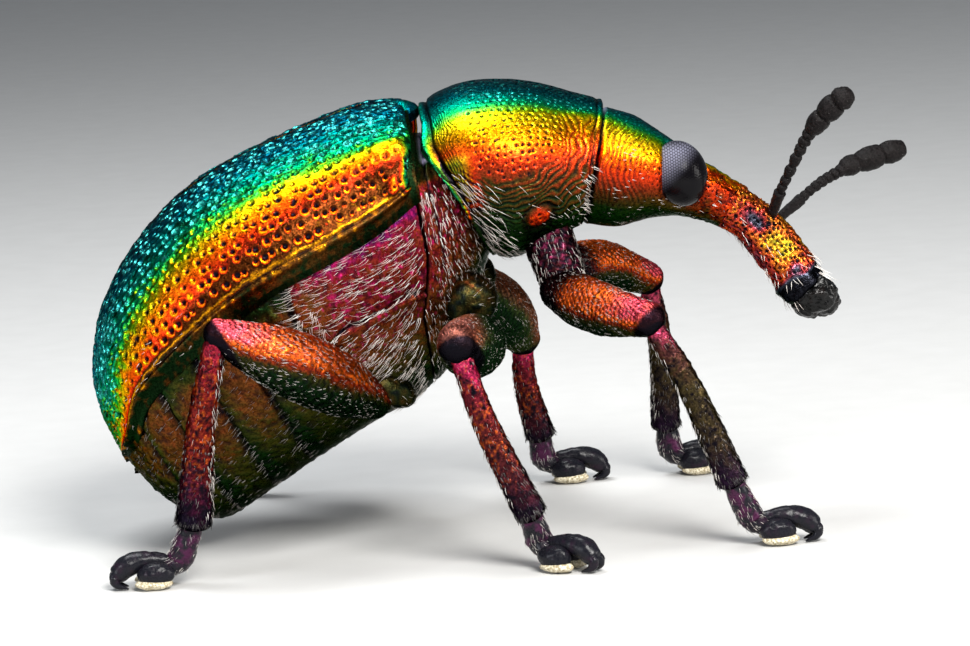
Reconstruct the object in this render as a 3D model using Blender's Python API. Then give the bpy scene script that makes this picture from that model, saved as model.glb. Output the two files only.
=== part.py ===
"""A leaf-rolling weevil, life size, standing on its six feet.

Everything is worked out in millimetres: the head points to +X, the animal's left is +Y and the
floor is z = 0. The finished meshes are scaled to metres, with the origin under the middle.
"""

import math
from collections import namedtuple

import bmesh
import bpy
import numpy as np
from mathutils import Matrix, Vector

MM = 0.001

# Thin cut between neighbours, least half thickness of legs and feelers, wing case thickness
GAP = 0.06
SLIM = 0.23
SHELL = 0.5
OVERHANG = 0.1

# Lengthwise tables. Each row is a slanting section: top x, top z, bottom x, bottom z,
# half width, and how far down from the top it is widest.
HIND_BODY = (
    (-0.56, 4.34, 0.02, 2.64, 1.12, 0.38),
    (-0.67, 4.34, -0.30, 1.80, 1.46, 0.28),
    (-1.10, 4.34, -0.70, 1.40, 1.62, 0.33),
    (-1.70, 4.15, -1.02, 1.24, 1.75, 0.355),
    (-2.31, 3.91, -1.33, 1.07, 1.84, 0.36),
    (-2.93, 3.57, -1.77, 0.82, 1.85, 0.37),
    (-3.45, 3.06, -2.24, 0.53, 1.74, 0.37),
    (-3.79, 2.51, -2.66, 0.29, 1.50, 0.36),
    (-3.92, 1.95, -2.97, 0.33, 1.14, 0.42),
    (-3.88, 1.50, -3.25, 0.49, 0.74, 0.41),
    (-3.70, 1.02, -3.50, 0.75, 0.30, 0.40),
)
PRONOTUM = (
    (-0.50, 4.32, 0.12, 2.78, 1.06, 0.42),
    (-0.33, 4.42, 0.24, 2.74, 1.15, 0.42),
    (-0.05, 4.50, 0.38, 2.75, 1.21, 0.43),
    (0.30, 4.505, 0.56, 2.82, 1.21, 0.45),
    (0.65, 4.45, 0.74, 2.91, 1.13, 0.47),
    (0.98, 4.345, 0.90, 2.98, 0.98, 0.50),
    (1.29, 4.25, 1.02, 3.03, 0.84, 0.50),
)
HEAD = (
    (1.36, 4.16, 1.10, 3.02, 0.78, 0.45),
    (1.60, 4.07, 1.37, 2.98, 0.76, 0.45),
    (1.88, 3.87, 1.68, 3.04, 0.70, 0.45),
    (2.20, 3.62, 1.98, 3.05, 0.62, 0.42),
    (2.50, 3.41, 2.28, 2.97, 0.47, 0.45),
    (2.80, 3.17, 2.53, 2.82, 0.35, 0.50),
    (3.06, 2.92, 2.71, 2.59, 0.28, 0.50),
    (3.20, 2.72, 2.85, 2.38, 0.27, 0.50),
    (3.36, 2.49, 3.00, 2.13, 0.32, 0.50),
    (3.50, 2.30, 3.18, 2.00, 0.31, 0.50),
)
WING_CASE_POWER = 2.3
BODY_POWER = 2.1
ROSTRUM_POWER = 2.2

# Points down each side of a trunk section, above and below its ledge
UPPER_COUNT = 7
LOWER_COUNT = 9

# Where the lengthwise tables are parted
COLLAR_END = 0.5
COLLAR_STEP = 0.05
MESOTHORAX_END = 1.45
METATHORAX_END = 3.85
ABDOMEN_END = 8.3
WING_CASE_SPAN = (1.0, 9.9)
PARTING = 0.1
TIP_PARTING = 0.14
VENTRITE_SUTURES = (4.95, 5.75, 6.6, 7.5)
SUTURE_DEPTH = 0.04
SUTURE_HALF = 0.07
SLOT_SKEW = 1.0
SLOT_SKEW_END = 5.0
HEAD_END = 4.3
ROSTRUM_END = 8.6

# The head is rolled a little about the neck, its right side up
NECK = (1.23, 0.0, 3.59)
NECK_AHEAD = (0.976, 0.0, -0.216)
HEAD_ROLL = math.radians(-9)

# The shoulder knob of a wing case: place along it, angle from the suture, height and reach
SHOULDER_S = 1.55
SHOULDER_ANGLE = math.radians(58)
SHOULDER_HEIGHT = 0.05
SHOULDER_REACH = (0.55, math.radians(16))

# Eyes, scutellum and mandibles: middle and half sizes, before the head is turned
EYE_MIDDLE = (1.99, 0.49, 3.455)
EYE_SIZE = (0.25, 0.24, 0.31)
EYE_LEAN = math.radians(-15)
SCUTELLUM_MIDDLE = (-0.72, 0.0, 4.10)
SCUTELLUM_SIZE = (0.24, 0.20, 0.25)
MANDIBLE_MIDDLE = (3.42, 0.14, 2.11)
MANDIBLE_SIZE = (0.14, 0.11, 0.15)
MANDIBLE_LEAN = math.radians(34)

# Feelers, from the root inside the rostrum out to the tip
FEELERS = {
    "right": (
        (2.86, -0.10, 2.90),
        (2.97, -0.42, 3.25),
        (3.05, -0.55, 3.44),
        (3.17, -0.70, 3.70),
        (3.265, -0.80, 3.88),
        (3.39, -0.88, 4.04),
        (3.54, -0.95, 4.19),
        (3.64, -0.98, 4.25),
    ),
    "left": (
        (2.90, 0.10, 2.88),
        (3.21, 0.42, 3.067),
        (3.365, 0.55, 3.171),
        (3.52, 0.68, 3.248),
        (3.672, 0.78, 3.311),
        (3.824, 0.88, 3.362),
        (4.10, 1.00, 3.423),
        (4.30, 1.07, 3.46),
    ),
}
SCAPE_END = 1.6
FUNICLE_END = 4.5
FEELER_PARTING = 0.3
BEADS_A_KNOT = 2.0
BEAD_DEPTH = 0.07
CLUB_THICKER = 1.08

# Coxae on the right side: middle, half sizes, and the lean of the long axis about Y
COXAE = {
    "front": ((0.70, -0.46, 2.83), (0.30, 0.26, 0.44), 0.12),
    "middle": ((-0.16, -0.80, 2.44), (0.30, 0.28, 0.28), 0.0),
    "hind": ((-1.05, -0.84, 1.66), (0.38, 0.28, 0.19), 0.55),
}

# Legs: hip, middle of the femur, knee, ankle, the pads' place on the floor, and the
# direction of the claws about Z
Leg = namedtuple("Leg", "hip thigh knee ankle pads heading")
LEGS = {
    ("front", "right"): Leg(
        (0.76, -0.68, 2.46), (1.13, -1.25, 2.34), (1.57, -1.84, 2.30),
        (2.30, -1.76, 0.68), (2.66, -1.66), 3,
    ),
    ("front", "left"): Leg(
        (0.76, 0.68, 2.46), (1.20, 1.30, 2.42), (1.71, 1.98, 2.16),
        (1.84, 2.34, 0.56), (2.06, 2.40), 8,
    ),
    ("middle", "right"): Leg(
        (-0.24, -1.00, 2.40), (-0.21, -1.70, 2.30), (-0.17, -2.40, 2.18),
        (0.33, -2.36, 0.58), (0.56, -2.36), -35,
    ),
    ("middle", "left"): Leg(
        (-0.14, 1.00, 2.40), (0.14, 1.55, 2.02), (0.38, 2.02, 1.60),
        (0.51, 2.26, 0.54), (0.72, 2.30), 4,
    ),
    ("hind", "right"): Leg(
        (-1.14, -1.06, 1.52), (-1.84, -1.96, 2.06), (-2.56, -2.26, 2.46),
        (-2.90, -2.20, 0.64), (-3.24, -2.12), 184,
    ),
    ("hind", "left"): Leg(
        (-1.14, 1.06, 1.52), (-1.75, 1.96, 1.98), (-2.30, 2.34, 2.26),
        (-2.36, 2.42, 0.62), (-2.64, 2.44), 178,
    ),
}
FEMUR_THICKER = {"front": 1.14, "middle": 1.26, "hind": 1.3}
KNEE_THICKER = {"front": 1.0, "middle": 1.2, "hind": 1.05}

# Shares of SLIM along a femur and a tibia, across and deep
HIP_SIZE = (0.9, 0.95)
SHIN_TOP_SIZE = (0.85, 0.9)
SHIN_END_SIZE = (1.15, 1.12)

# Foot, in its own frame: x ahead of the pads, y to the left, z up from the floor, and for
# the tubes the half sizes across and deep
ANKLE_SIZE = (0.21, 0.21)
INSTEP_SIZE = (0.20, 0.19)
HEEL = (-0.08, 0.0, 0.22, 0.23, 0.18)
TOE = (0.10, 0.0, 0.18, 0.18, 0.14)
PAD_PLACE = (0.05, 0.13, 0.125)
PAD_SIZE = (0.22, 0.15, 0.17)
STALK = (
    (0.0, 0.0, 0.20, 0.14, 0.12),
    (0.17, 0.0, 0.25, 0.13, 0.12),
    (0.30, 0.0, 0.22, 0.12, 0.11),
)
CLAW = (
    (0.26, 0.025, 0.215, 0.09, 0.09),
    (0.42, 0.07, 0.19, 0.07, 0.08),
    (0.46, 0.10, 0.05, 0.035, 0.04),
)
# The left pad and claw sit a hair ahead of the right ones
STAGGER = 0.015


def clear_scene():
    """Removes every object, so that the model starts from nothing."""
    for item in list(bpy.data.objects):
        bpy.data.objects.remove(item, do_unlink=True)


def new_collection(name):
    """A collection linked to the scene."""
    collection = bpy.data.collections.new(name)
    bpy.context.scene.collection.children.link(collection)
    return collection


def material(name, colour, roughness, metallic):
    """A Principled material."""
    made = bpy.data.materials.new(name)
    made.use_nodes = True
    shader = made.node_tree.nodes["Principled BSDF"]
    shader.inputs["Base Color"].default_value = (*colour, 1.0)
    shader.inputs["Roughness"].default_value = roughness
    shader.inputs["Metallic"].default_value = metallic
    return made


def smooth_row(rows, s):
    """The values at s on a smooth curve that runs through the rows."""
    table = np.array(rows, dtype=float)
    last = len(table) - 1
    start = min(max(math.floor(s), 0), last - 1)
    t = s - start
    here = table[start]
    there = table[start + 1]
    before = table[start - 1] if start > 0 else 2 * here - there
    after = table[start + 2] if start + 2 <= last else 2 * there - here
    cubic = 3 * (here - there) + after - before
    square = 2 * before - 5 * here + 4 * there - after
    return here + 0.5 * t * (there - before + t * (square + t * cubic))


def spread(start, end, count):
    """Evenly spaced values from start to end, both included."""
    return [float(value) for value in np.linspace(start, end, count)]


def from_bmesh(name, shape):
    """An object that holds the shape, whose uncut form is kept for cutting its neighbours."""
    mesh = bpy.data.meshes.new(name)
    shape.to_mesh(mesh)
    shape.free()
    made = bpy.data.objects.new(name, mesh)
    WORKSHOP.objects.link(made)
    UNCUT[name] = mesh.copy()
    return made


def solid(name, points, faces):
    """An object with the given closed surface, its faces turned outward."""
    shape = bmesh.new()
    corners = [shape.verts.new(point) for point in points]
    for face in faces:
        shape.faces.new([corners[i] for i in face])
    bmesh.ops.recalc_face_normals(shape, faces=shape.faces)
    return from_bmesh(name, shape)


def loft(name, sections):
    """A closed body through sections of two rails each, with a ladder of faces over each end."""
    count = len(sections[0][0])
    size = 2 * count
    points = []
    for rail, other in sections:
        points.extend(rail)
        points.extend(reversed(other))
    faces = []
    for row in range(len(sections) - 1):
        base = row * size
        for i in range(size):
            j = (i + 1) % size
            faces.append((base + i, base + j, base + size + j, base + size + i))
    last = (len(sections) - 1) * size
    for i in range(count - 1):
        j = size - 1 - i
        faces.append((i, i + 1, j - 1, j))
        faces.append((last + i, last + j, last + j - 1, last + i + 1))
    return solid(name, points, faces)


def mirrored(points):
    """The same points on the other side of the mid-plane."""
    return [Vector((point[0], -point[1], point[2])) for point in points]


Section = namedtuple("Section", "top side low half_width")


def section_at(rows, s):
    """The section of a lengthwise table at s."""
    top_x, top_z, low_x, low_z, half_width, level = smooth_row(rows, s)
    top = Vector((top_x, 0.0, top_z))
    low = Vector((low_x, 0.0, low_z))
    return Section(top, top.lerp(low, level), low, half_width)


def shoulder(s, angle):
    """How far the shoulder knob lifts the wing case."""
    along = (s - SHOULDER_S) / SHOULDER_REACH[0]
    round_it = (angle - SHOULDER_ANGLE) / SHOULDER_REACH[1]
    return SHOULDER_HEIGHT * math.exp(-along * along - round_it * round_it)


def quarter(side, end, half_width, power, angles):
    """Points of a quarter oval, from its end in the mid-plane, angle 0, to its side."""
    points = []
    for angle in angles:
        rise = max(math.cos(angle), 0.0) ** (2 / power)
        reach = math.sin(angle) ** (2 / power)
        point = side.lerp(end, rise)
        points.append(Vector((point.x, half_width * reach, point.z)))
    return points


def inward(point, toward, distance):
    """The point moved toward another by a distance."""
    return point + (toward - point).normalized() * distance


def oval_rail(section, power, top_count, low_count):
    """The left side of a whole oval section, from top to bottom."""
    top_step = math.pi / 2 / (top_count - 0.5)
    low_step = math.pi / 2 / (low_count + 0.5)
    top_angles = [(i + 0.5) * top_step for i in range(top_count)]
    low_angles = [math.pi / 2 - (i + 1) * low_step for i in range(low_count)]
    upper = quarter(section.side, section.top, section.half_width, power, top_angles)
    lower = quarter(section.side, section.low, section.half_width, power, low_angles)
    return upper + lower


def oval_body(name, rows, values, power, top_count, low_count):
    """A body of oval sections at the given places of a lengthwise table."""
    sections = []
    for s in values:
        rail = oval_rail(section_at(rows, s), power, top_count, low_count)
        sections.append((rail, mirrored(rail)))
    return loft(name, sections)


def shell_depth(half_width):
    """How thick the wing case is, thinner only toward its tip."""
    return min(SHELL, 0.45 * half_width)


def wing_case(name, side):
    """One wing case, from the suture down to its side margin."""
    angles = spread(0.0, math.pi / 2, 13)
    sections = []
    for s in spread(*WING_CASE_SPAN, 17):
        section = section_at(HIND_BODY, s)
        depth = shell_depth(section.half_width)
        inner_top = inward(section.top, section.side, depth)
        inner_width = section.half_width - depth
        outer = quarter(section.side, section.top, section.half_width, WING_CASE_POWER, angles)
        inner = quarter(section.side, inner_top, inner_width, WING_CASE_POWER, angles)
        for point, angle in zip(outer, angles):
            point += (point - section.side).normalized() * shoulder(s, angle)
        for point in (outer[0], inner[0]):
            point.y = GAP / 2
        if side == "right":
            outer = mirrored(outer)
            inner = mirrored(inner)
        sections.append((outer, inner))
    return loft(name, sections)


def skew_at(s):
    """How much further forward a section meets the mid-line below than at the margin."""
    if s < MESOTHORAX_END + PARTING:
        return 0.0
    rise = (s - MESOTHORAX_END - PARTING) / (METATHORAX_END - MESOTHORAX_END - PARTING)
    fall = (SLOT_SKEW_END - s) / (SLOT_SKEW_END - METATHORAX_END)
    return SLOT_SKEW * max(min(rise, fall, 1.0), 0.0)


def trunk_rail(s, sunk, groove):
    """The left side of the hind body under the wing cases, a ledge at the margin included."""
    section = section_at(HIND_BODY, s)
    top_step = math.pi / 2 / (UPPER_COUNT - 0.5)
    low_step = math.pi / 2 / (LOWER_COUNT - 0.5)
    upper_inset = shell_depth(section.half_width) + GAP if sunk else OVERHANG + 0.02
    upper_top = inward(section.top, section.side, upper_inset)
    ledge = inward(section.side, section.low, GAP)
    upper = quarter(
        ledge, upper_top, section.half_width - upper_inset, WING_CASE_POWER,
        [(i + 0.5) * top_step for i in range(UPPER_COUNT)],
    )
    lower = []
    for i in range(LOWER_COUNT):
        below = section_at(HIND_BODY, s - skew_at(s) * i / (LOWER_COUNT - 1))
        ledge = inward(below.side, below.low, GAP)
        low = inward(below.low, below.side, groove)
        lower += quarter(
            ledge, low, below.half_width - OVERHANG - groove, BODY_POWER,
            [math.pi / 2 - i * low_step],
        )
    return upper + lower


def trunk(name, places):
    """A length of the hind body. Each place is s, whether it is sunk, and its groove."""
    sections = []
    for s, sunk, groove in places:
        rail = trunk_rail(s, sunk, groove)
        sections.append((rail, mirrored(rail)))
    return loft(name, sections)


def abdomen_places():
    """Sections of the abdomen, with a fine groove at each suture."""
    start = METATHORAX_END + PARTING
    places = [(start, True, 0.0)]
    previous = start
    for suture in VENTRITE_SUTURES:
        places.append(((previous + suture) / 2, True, 0.0))
        places.append((suture - SUTURE_HALF, True, 0.0))
        places.append((suture, True, SUTURE_DEPTH))
        places.append((suture + SUTURE_HALF, True, 0.0))
        previous = suture
    places.append(((previous + ABDOMEN_END) / 2, True, 0.0))
    places.append((ABDOMEN_END, True, 0.0))
    return places


def ball(name, middle, half_sizes, lean, segments, rings):
    """An ellipsoid, leaning about Y."""
    shape = bmesh.new()
    bmesh.ops.create_uvsphere(shape, u_segments=segments, v_segments=rings, radius=1.0)
    stretch = Matrix.Diagonal((*half_sizes, 1.0))
    place = Matrix.Translation(middle) @ Matrix.Rotation(lean, 4, "Y") @ stretch
    shape.transform(place)
    return from_bmesh(name, shape)


def plain(_):
    """A limb of even outline."""
    return 1.0


def beaded(s):
    """Swells and narrows along a feeler, once for each small segment."""
    return 1.0 - BEAD_DEPTH + BEAD_DEPTH * math.cos(2 * math.pi * BEADS_A_KNOT * s)


def limb(name, knots, values, up, outline=plain, round_start=False, round_end=True, count=5):
    """A tube along a smooth line of knots: x, y, z, half across, half deep.

    Each end is flat, or domed past its knot.
    """
    def ring(middle, ahead, across, deep):
        side = ahead.cross(up).normalized()
        over = side.cross(ahead).normalized()
        rail = []
        other = []
        for i in range(count):
            angle = math.pi * (i + 0.5) / count
            lift = over * deep * math.cos(angle)
            rail.append(middle + lift + side * across * math.sin(angle))
            other.append(middle + lift - side * across * math.sin(angle))
        return rail, other

    def frame(s):
        row = smooth_row(knots, s)
        ahead = Vector((smooth_row(knots, s + 0.02) - smooth_row(knots, s - 0.02))[:3])
        return Vector(row[:3]), ahead.normalized(), row[3] * outline(s), row[4] * outline(s)

    def dome(s, turn):
        middle, ahead, across, deep = frame(s)
        reach = turn * 0.5 * (across + deep)
        return [
            ring(middle + ahead * reach * math.sin(angle), ahead,
                 across * math.cos(angle), deep * math.cos(angle))
            for angle in (math.radians(35), math.radians(66))
        ]

    sections = [ring(*frame(s)) for s in values]
    if round_start:
        sections = dome(values[0], -1)[::-1] + sections
    if round_end:
        sections = sections + dome(values[-1], 1)
    return loft(name, sections)


def applied(target):
    """Takes the target's modifiers into its mesh."""
    graph = bpy.context.evaluated_depsgraph_get()
    mesh = bpy.data.meshes.new_from_object(target.evaluated_get(graph))
    target.modifiers.clear()
    old = target.data
    target.data = mesh
    bpy.data.meshes.remove(old)


def keep_largest(target):
    """Keeps only the largest closed surface of a mesh."""
    shape = bmesh.new()
    shape.from_mesh(target.data)
    unseen = set(shape.verts)
    best = set()
    while unseen:
        found = {unseen.pop()}
        front = list(found)
        while front:
            for edge in front.pop().link_edges:
                for vertex in edge.verts:
                    if vertex in unseen:
                        unseen.discard(vertex)
                        found.add(vertex)
                        front.append(vertex)
        if len(found) > len(best):
            best = found
    loose = [vertex for vertex in shape.verts if vertex not in best]
    bmesh.ops.delete(shape, geom=loose, context="VERTS")
    shape.to_mesh(target.data)
    shape.free()


def grown(source, distance):
    """A helper of a solid's uncut form, each point moved out along its normal."""
    shape = bmesh.new()
    shape.from_mesh(UNCUT[source.name])
    shape.normal_update()
    places = [vertex.co + vertex.normal * distance for vertex in shape.verts]
    for vertex, place in zip(shape.verts, places):
        vertex.co = place
    mesh = bpy.data.meshes.new("helper")
    shape.to_mesh(mesh)
    shape.free()
    made = bpy.data.objects.new("helper", mesh)
    made.hide_render = True
    made.display_type = "WIRE"
    CUTTERS.objects.link(made)
    return made


def carve(target, *neighbours):
    """Cuts a piece back from its neighbours, all but a thin gap."""
    for neighbour in neighbours:
        cutter = grown(neighbour, GAP)
        cut = target.modifiers.new("carve", "BOOLEAN")
        cut.operation = "DIFFERENCE"
        cut.object = cutter
        applied(target)
        bpy.data.objects.remove(cutter, do_unlink=True)
    keep_largest(target)


def joined(name, pieces):
    """One closed body from overlapping pieces."""
    first, *rest = pieces
    first.name = name
    group = new_collection("joining")
    for piece in rest:
        group.objects.link(piece)
    join = first.modifiers.new("join", "BOOLEAN")
    join.operation = "UNION"
    join.operand_type = "COLLECTION"
    join.collection = group
    applied(first)
    for piece in rest:
        bpy.data.objects.remove(piece, do_unlink=True)
    bpy.data.collections.remove(group)
    keep_largest(first)
    return first


def stand_on_floor(target):
    """Cuts a piece off flat at the floor."""
    shape = bmesh.new()
    bmesh.ops.create_cube(shape, size=1.0)
    shape.transform(Matrix.Translation((0, 0, -2)) @ Matrix.Diagonal((20, 20, 4, 1)))
    mesh = bpy.data.meshes.new("floor")
    shape.to_mesh(mesh)
    shape.free()
    floor = bpy.data.objects.new("floor", mesh)
    CUTTERS.objects.link(floor)
    cut = target.modifiers.new("floor", "BOOLEAN")
    cut.operation = "DIFFERENCE"
    cut.object = floor
    applied(target)
    bpy.data.objects.remove(floor, do_unlink=True)
    keep_largest(target)


def build_trunk():
    """Thorax, abdomen, wing cases and scutellum."""
    meso_start = COLLAR_END + COLLAR_STEP
    mesothorax = trunk("mesothorax", [
        (0.0, False, 0.0), (COLLAR_END / 2, False, 0.0), (COLLAR_END, False, 0.0),
        (meso_start, True, 0.0), (0.8, True, 0.0), (1.1, True, 0.0),
        (MESOTHORAX_END, True, 0.0),
    ])
    meta_start = MESOTHORAX_END + PARTING
    metathorax = trunk("metathorax", [
        (s, True, 0.0) for s in spread(meta_start, METATHORAX_END, 6)
    ])
    abdomen = trunk("abdomen", abdomen_places())
    pygidium = trunk("pygidium", [
        (s, True, 0.0) for s in spread(ABDOMEN_END + TIP_PARTING, len(HIND_BODY) - 1.0, 4)
    ])
    scutellum = ball("scutellum", SCUTELLUM_MIDDLE, SCUTELLUM_SIZE, 0.0, 14, 8)
    carve(scutellum, mesothorax)
    wing_cases = []
    for side in ("right", "left"):
        case = wing_case(f"elytron_{side}", side)
        carve(case, scutellum)
        wing_cases.append(case)
    return mesothorax, metathorax, abdomen, pygidium, scutellum, wing_cases


def rolled(piece):
    """Turns a piece of the head, and its uncut form, about the neck."""
    turn = Matrix.Rotation(HEAD_ROLL, 4, Vector(NECK_AHEAD))
    place = Matrix.Translation(NECK) @ turn @ Matrix.Translation(-Vector(NECK))
    piece.data.transform(place)
    UNCUT[piece.name].transform(place)


def build_head():
    """Head, rostrum, eyes and mandibles."""
    head = oval_body("head", HEAD, spread(0.0, HEAD_END, 10), BODY_POWER, 6, 5)
    rostrum_values = spread(HEAD_END + PARTING, ROSTRUM_END, 9)
    rostrum = oval_body("rostrum", HEAD, rostrum_values, ROSTRUM_POWER, 5, 4)
    small = []
    for side, turn in (("right", -1), ("left", 1)):
        x, y, z = EYE_MIDDLE
        eye = ball(f"eye_{side}", (x, turn * y, z), EYE_SIZE, EYE_LEAN, 16, 10)
        carve(head, eye)
        x, y, z = MANDIBLE_MIDDLE
        mandible = ball(f"mandible_{side}", (x, turn * y, z), MANDIBLE_SIZE, MANDIBLE_LEAN, 12, 8)
        carve(mandible, rostrum)
        small.extend((eye, mandible))
    for piece in (head, rostrum, *small):
        rolled(piece)
    return head, rostrum, small


def build_feeler(side, rostrum):
    """Scape, funicle and club of one feeler."""
    knots = [(*point, SLIM, SLIM) for point in FEELERS[side]]
    last = len(knots) - 1.0
    up = Vector((1.0, 0.0, 0.0)) if side == "right" else Vector((0.0, 0.0, 1.0))
    scape = limb(
        f"antenna_{side}_scape", knots, spread(0.0, SCAPE_END, 5), up, round_end=False,
    )
    carve(scape, rostrum)
    funicle = limb(
        f"antenna_{side}_funicle", knots,
        spread(SCAPE_END + FEELER_PARTING, FUNICLE_END, 18), up, beaded, round_end=False,
    )
    club_knots = [
        (*point[:3], SLIM * CLUB_THICKER, SLIM * CLUB_THICKER) for point in knots
    ]
    club = limb(
        f"antenna_{side}_club", club_knots,
        spread(FUNICLE_END + FEELER_PARTING, last, 12), up, beaded,
    )
    return [scape, funicle, club]


def build_foot(name, leg):
    """The segments of one tarsus, its two pads and its claws."""
    turn = Matrix.Rotation(math.radians(leg.heading), 4, "Z")
    place = Matrix.Translation((*leg.pads, 0.0)) @ turn
    upward = Vector((0.0, 0.0, 1.0))

    def set_down(row, side=0):
        x, y, z, across, deep = row
        return (*(place @ Vector((x + STAGGER * side, side * y, z))), across, deep)

    ankle = Vector(leg.ankle)
    heel = set_down(HEEL)
    instep = ankle.lerp(Vector(heel[:3]), 0.5)
    knots = [(*ankle, *ANKLE_SIZE), (*instep, *INSTEP_SIZE), heel, set_down(TOE)]
    pieces = [
        limb(f"{name}_segments", knots, spread(0.0, 3.0, 7), upward, round_start=True, count=4),
        limb(
            f"{name}_stalk", [set_down(row) for row in STALK], spread(0.0, 2.0, 4), upward,
            round_start=True, count=4,
        ),
    ]
    for side, label in ((-1, "right"), (1, "left")):
        x, y, z = PAD_PLACE
        middle = (x + STAGGER * side, side * y, z)
        pad = ball(f"{name}_pad_{label}", middle, PAD_SIZE, 0.0, 8, 6)
        pad.data.transform(place)
        claw = limb(
            f"{name}_claw_{label}", [set_down(row, side) for row in CLAW],
            spread(0.0, 2.0, 4), upward, round_start=True, count=3,
        )
        pieces.extend((pad, claw))
    foot = joined(name, pieces)
    stand_on_floor(foot)
    return foot


def build_leg(pair, side, body):
    """Coxa, femur, tibia and tarsus of one leg."""
    leg = LEGS[pair, side]
    middle, half_sizes, lean = COXAE[pair]
    if side == "left":
        middle = tuple(mirrored([middle])[0])
    label = f"{pair}_{side}"
    coxa = ball(f"coxa_{label}", middle, half_sizes, lean, 12, 8)
    carve(coxa, *body)
    thick = SLIM * FEMUR_THICKER[pair]
    bent = SLIM * KNEE_THICKER[pair]
    femur = limb(
        f"femur_{label}",
        [
            (*leg.hip, *(SLIM * share for share in HIP_SIZE)),
            (*leg.thigh, thick, thick),
            (*leg.knee, bent, bent),
        ],
        spread(0.0, 2.0, 8), Vector((0.0, 0.0, 1.0)), round_start=True, count=6,
    )
    carve(femur, coxa, *body)
    knee = Vector(leg.knee)
    ankle = Vector(leg.ankle)
    tibia = limb(
        f"tibia_{label}",
        [
            (*knee, *(SLIM * share for share in SHIN_TOP_SIZE)),
            (*knee.lerp(ankle, 0.5), SLIM, SLIM),
            (*ankle, *(SLIM * share for share in SHIN_END_SIZE)),
        ],
        spread(0.0, 2.0, 7), Vector((1.0, 0.0, 0.0)), round_end=False, count=5,
    )
    carve(tibia, femur)
    foot = build_foot(f"tarsus_{label}", leg)
    carve(foot, tibia)
    return [coxa, femur, tibia, foot]


def finish(pieces, finish_of, whole):
    """Scales to metres, centres the model over the origin and gives each piece its place."""
    low = Vector((math.inf,) * 3)
    high = Vector((-math.inf,) * 3)
    for piece in pieces:
        for vertex in piece.data.vertices:
            low = Vector(map(min, low, vertex.co))
            high = Vector(map(max, high, vertex.co))
    shift = Matrix.Translation((-(low.x + high.x) / 2, -(low.y + high.y) / 2, 0.0))
    for piece in pieces:
        piece.data.transform(Matrix.Scale(MM, 4) @ shift)
        corners = [vertex.co.copy() for vertex in piece.data.vertices]
        middle = sum(corners, Vector()) / len(corners)
        piece.data.transform(Matrix.Translation(-middle))
        piece.location = middle
        piece.data.materials.clear()
        piece.data.materials.append(finish_of(piece.name))
        piece.data.shade_smooth()
        piece.data.set_sharp_from_angle(angle=math.radians(40))
        WORKSHOP.objects.unlink(piece)
        whole.objects.link(piece)


clear_scene()
UNCUT = {}
WORKSHOP = new_collection("workshop")
CUTTERS = new_collection("cutters")
WEEVIL = new_collection("leaf_rolling_weevil")

FINISHES = {
    "elytron": material("elytron_metal", (0.04, 0.34, 0.20), 0.32, 0.9),
    "pronotum": material("pronotum_metal", (0.42, 0.40, 0.05), 0.32, 0.9),
    "scutellum": material("scutellum_metal", (0.05, 0.28, 0.22), 0.35, 0.9),
    "head": material("head_metal", (0.50, 0.30, 0.05), 0.34, 0.9),
    "rostrum": material("rostrum_metal", (0.58, 0.17, 0.04), 0.36, 0.9),
    "eye": material("eye_facets", (0.02, 0.018, 0.022), 0.18, 0.0),
    "mandible": material("mandible_horn", (0.012, 0.010, 0.010), 0.25, 0.1),
    "antenna": material("antenna_horn", (0.020, 0.015, 0.014), 0.45, 0.1),
    "mesothorax": material("mesothorax_metal", (0.28, 0.05, 0.04), 0.40, 0.8),
    "metathorax": material("metathorax_metal", (0.30, 0.045, 0.05), 0.40, 0.8),
    "abdomen": material("abdomen_metal", (0.22, 0.07, 0.03), 0.42, 0.8),
    "pygidium": material("pygidium_metal", (0.08, 0.16, 0.05), 0.42, 0.8),
    "coxa": material("coxa_metal", (0.18, 0.035, 0.03), 0.42, 0.8),
    "femur": material("femur_metal", (0.42, 0.09, 0.05), 0.38, 0.8),
    "tibia": material("tibia_metal", (0.26, 0.03, 0.06), 0.40, 0.8),
    "tarsus": material("tarsus_horn", (0.020, 0.016, 0.022), 0.35, 0.2),
}

MESO, META, ABDOMEN, PYGIDIUM, SCUTELLUM, WING_CASES = build_trunk()
FORE_BODY = oval_body("pronotum", PRONOTUM, spread(0.0, 6.0, 11), BODY_POWER, 7, 6)
SKULL, ROSTRUM, FACE = build_head()
PIECES = [MESO, META, ABDOMEN, PYGIDIUM, SCUTELLUM, *WING_CASES, FORE_BODY, SKULL, ROSTRUM, *FACE]
for SIDE in ("right", "left"):
    PIECES.extend(build_feeler(SIDE, ROSTRUM))
CARRIERS = {
    "front": [FORE_BODY],
    "middle": [MESO, META, *WING_CASES],
    "hind": [META, ABDOMEN, *WING_CASES],
}
for PAIR, CHOSEN in CARRIERS.items():
    for SIDE in ("right", "left"):
        PIECES.extend(build_leg(PAIR, SIDE, CHOSEN))
finish(PIECES, lambda name: FINISHES[name.split("_")[0]], WEEVIL)
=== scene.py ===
"""Looks of the leaf-rolling weevil.

All pieces are shaped in millimetres, in the frame of the animal's own tables: the head points to
+X, the animal's left is +Y and the floor is z = 0. `settled` moves them to the frame of the
solids. On every skin, s runs along it and turn runs round it, in degrees, from its upper side.
"""

import math

import bmesh
import bpy
import numpy as np
from mathutils import Matrix, Vector
from mathutils.kdtree import KDTree


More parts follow.
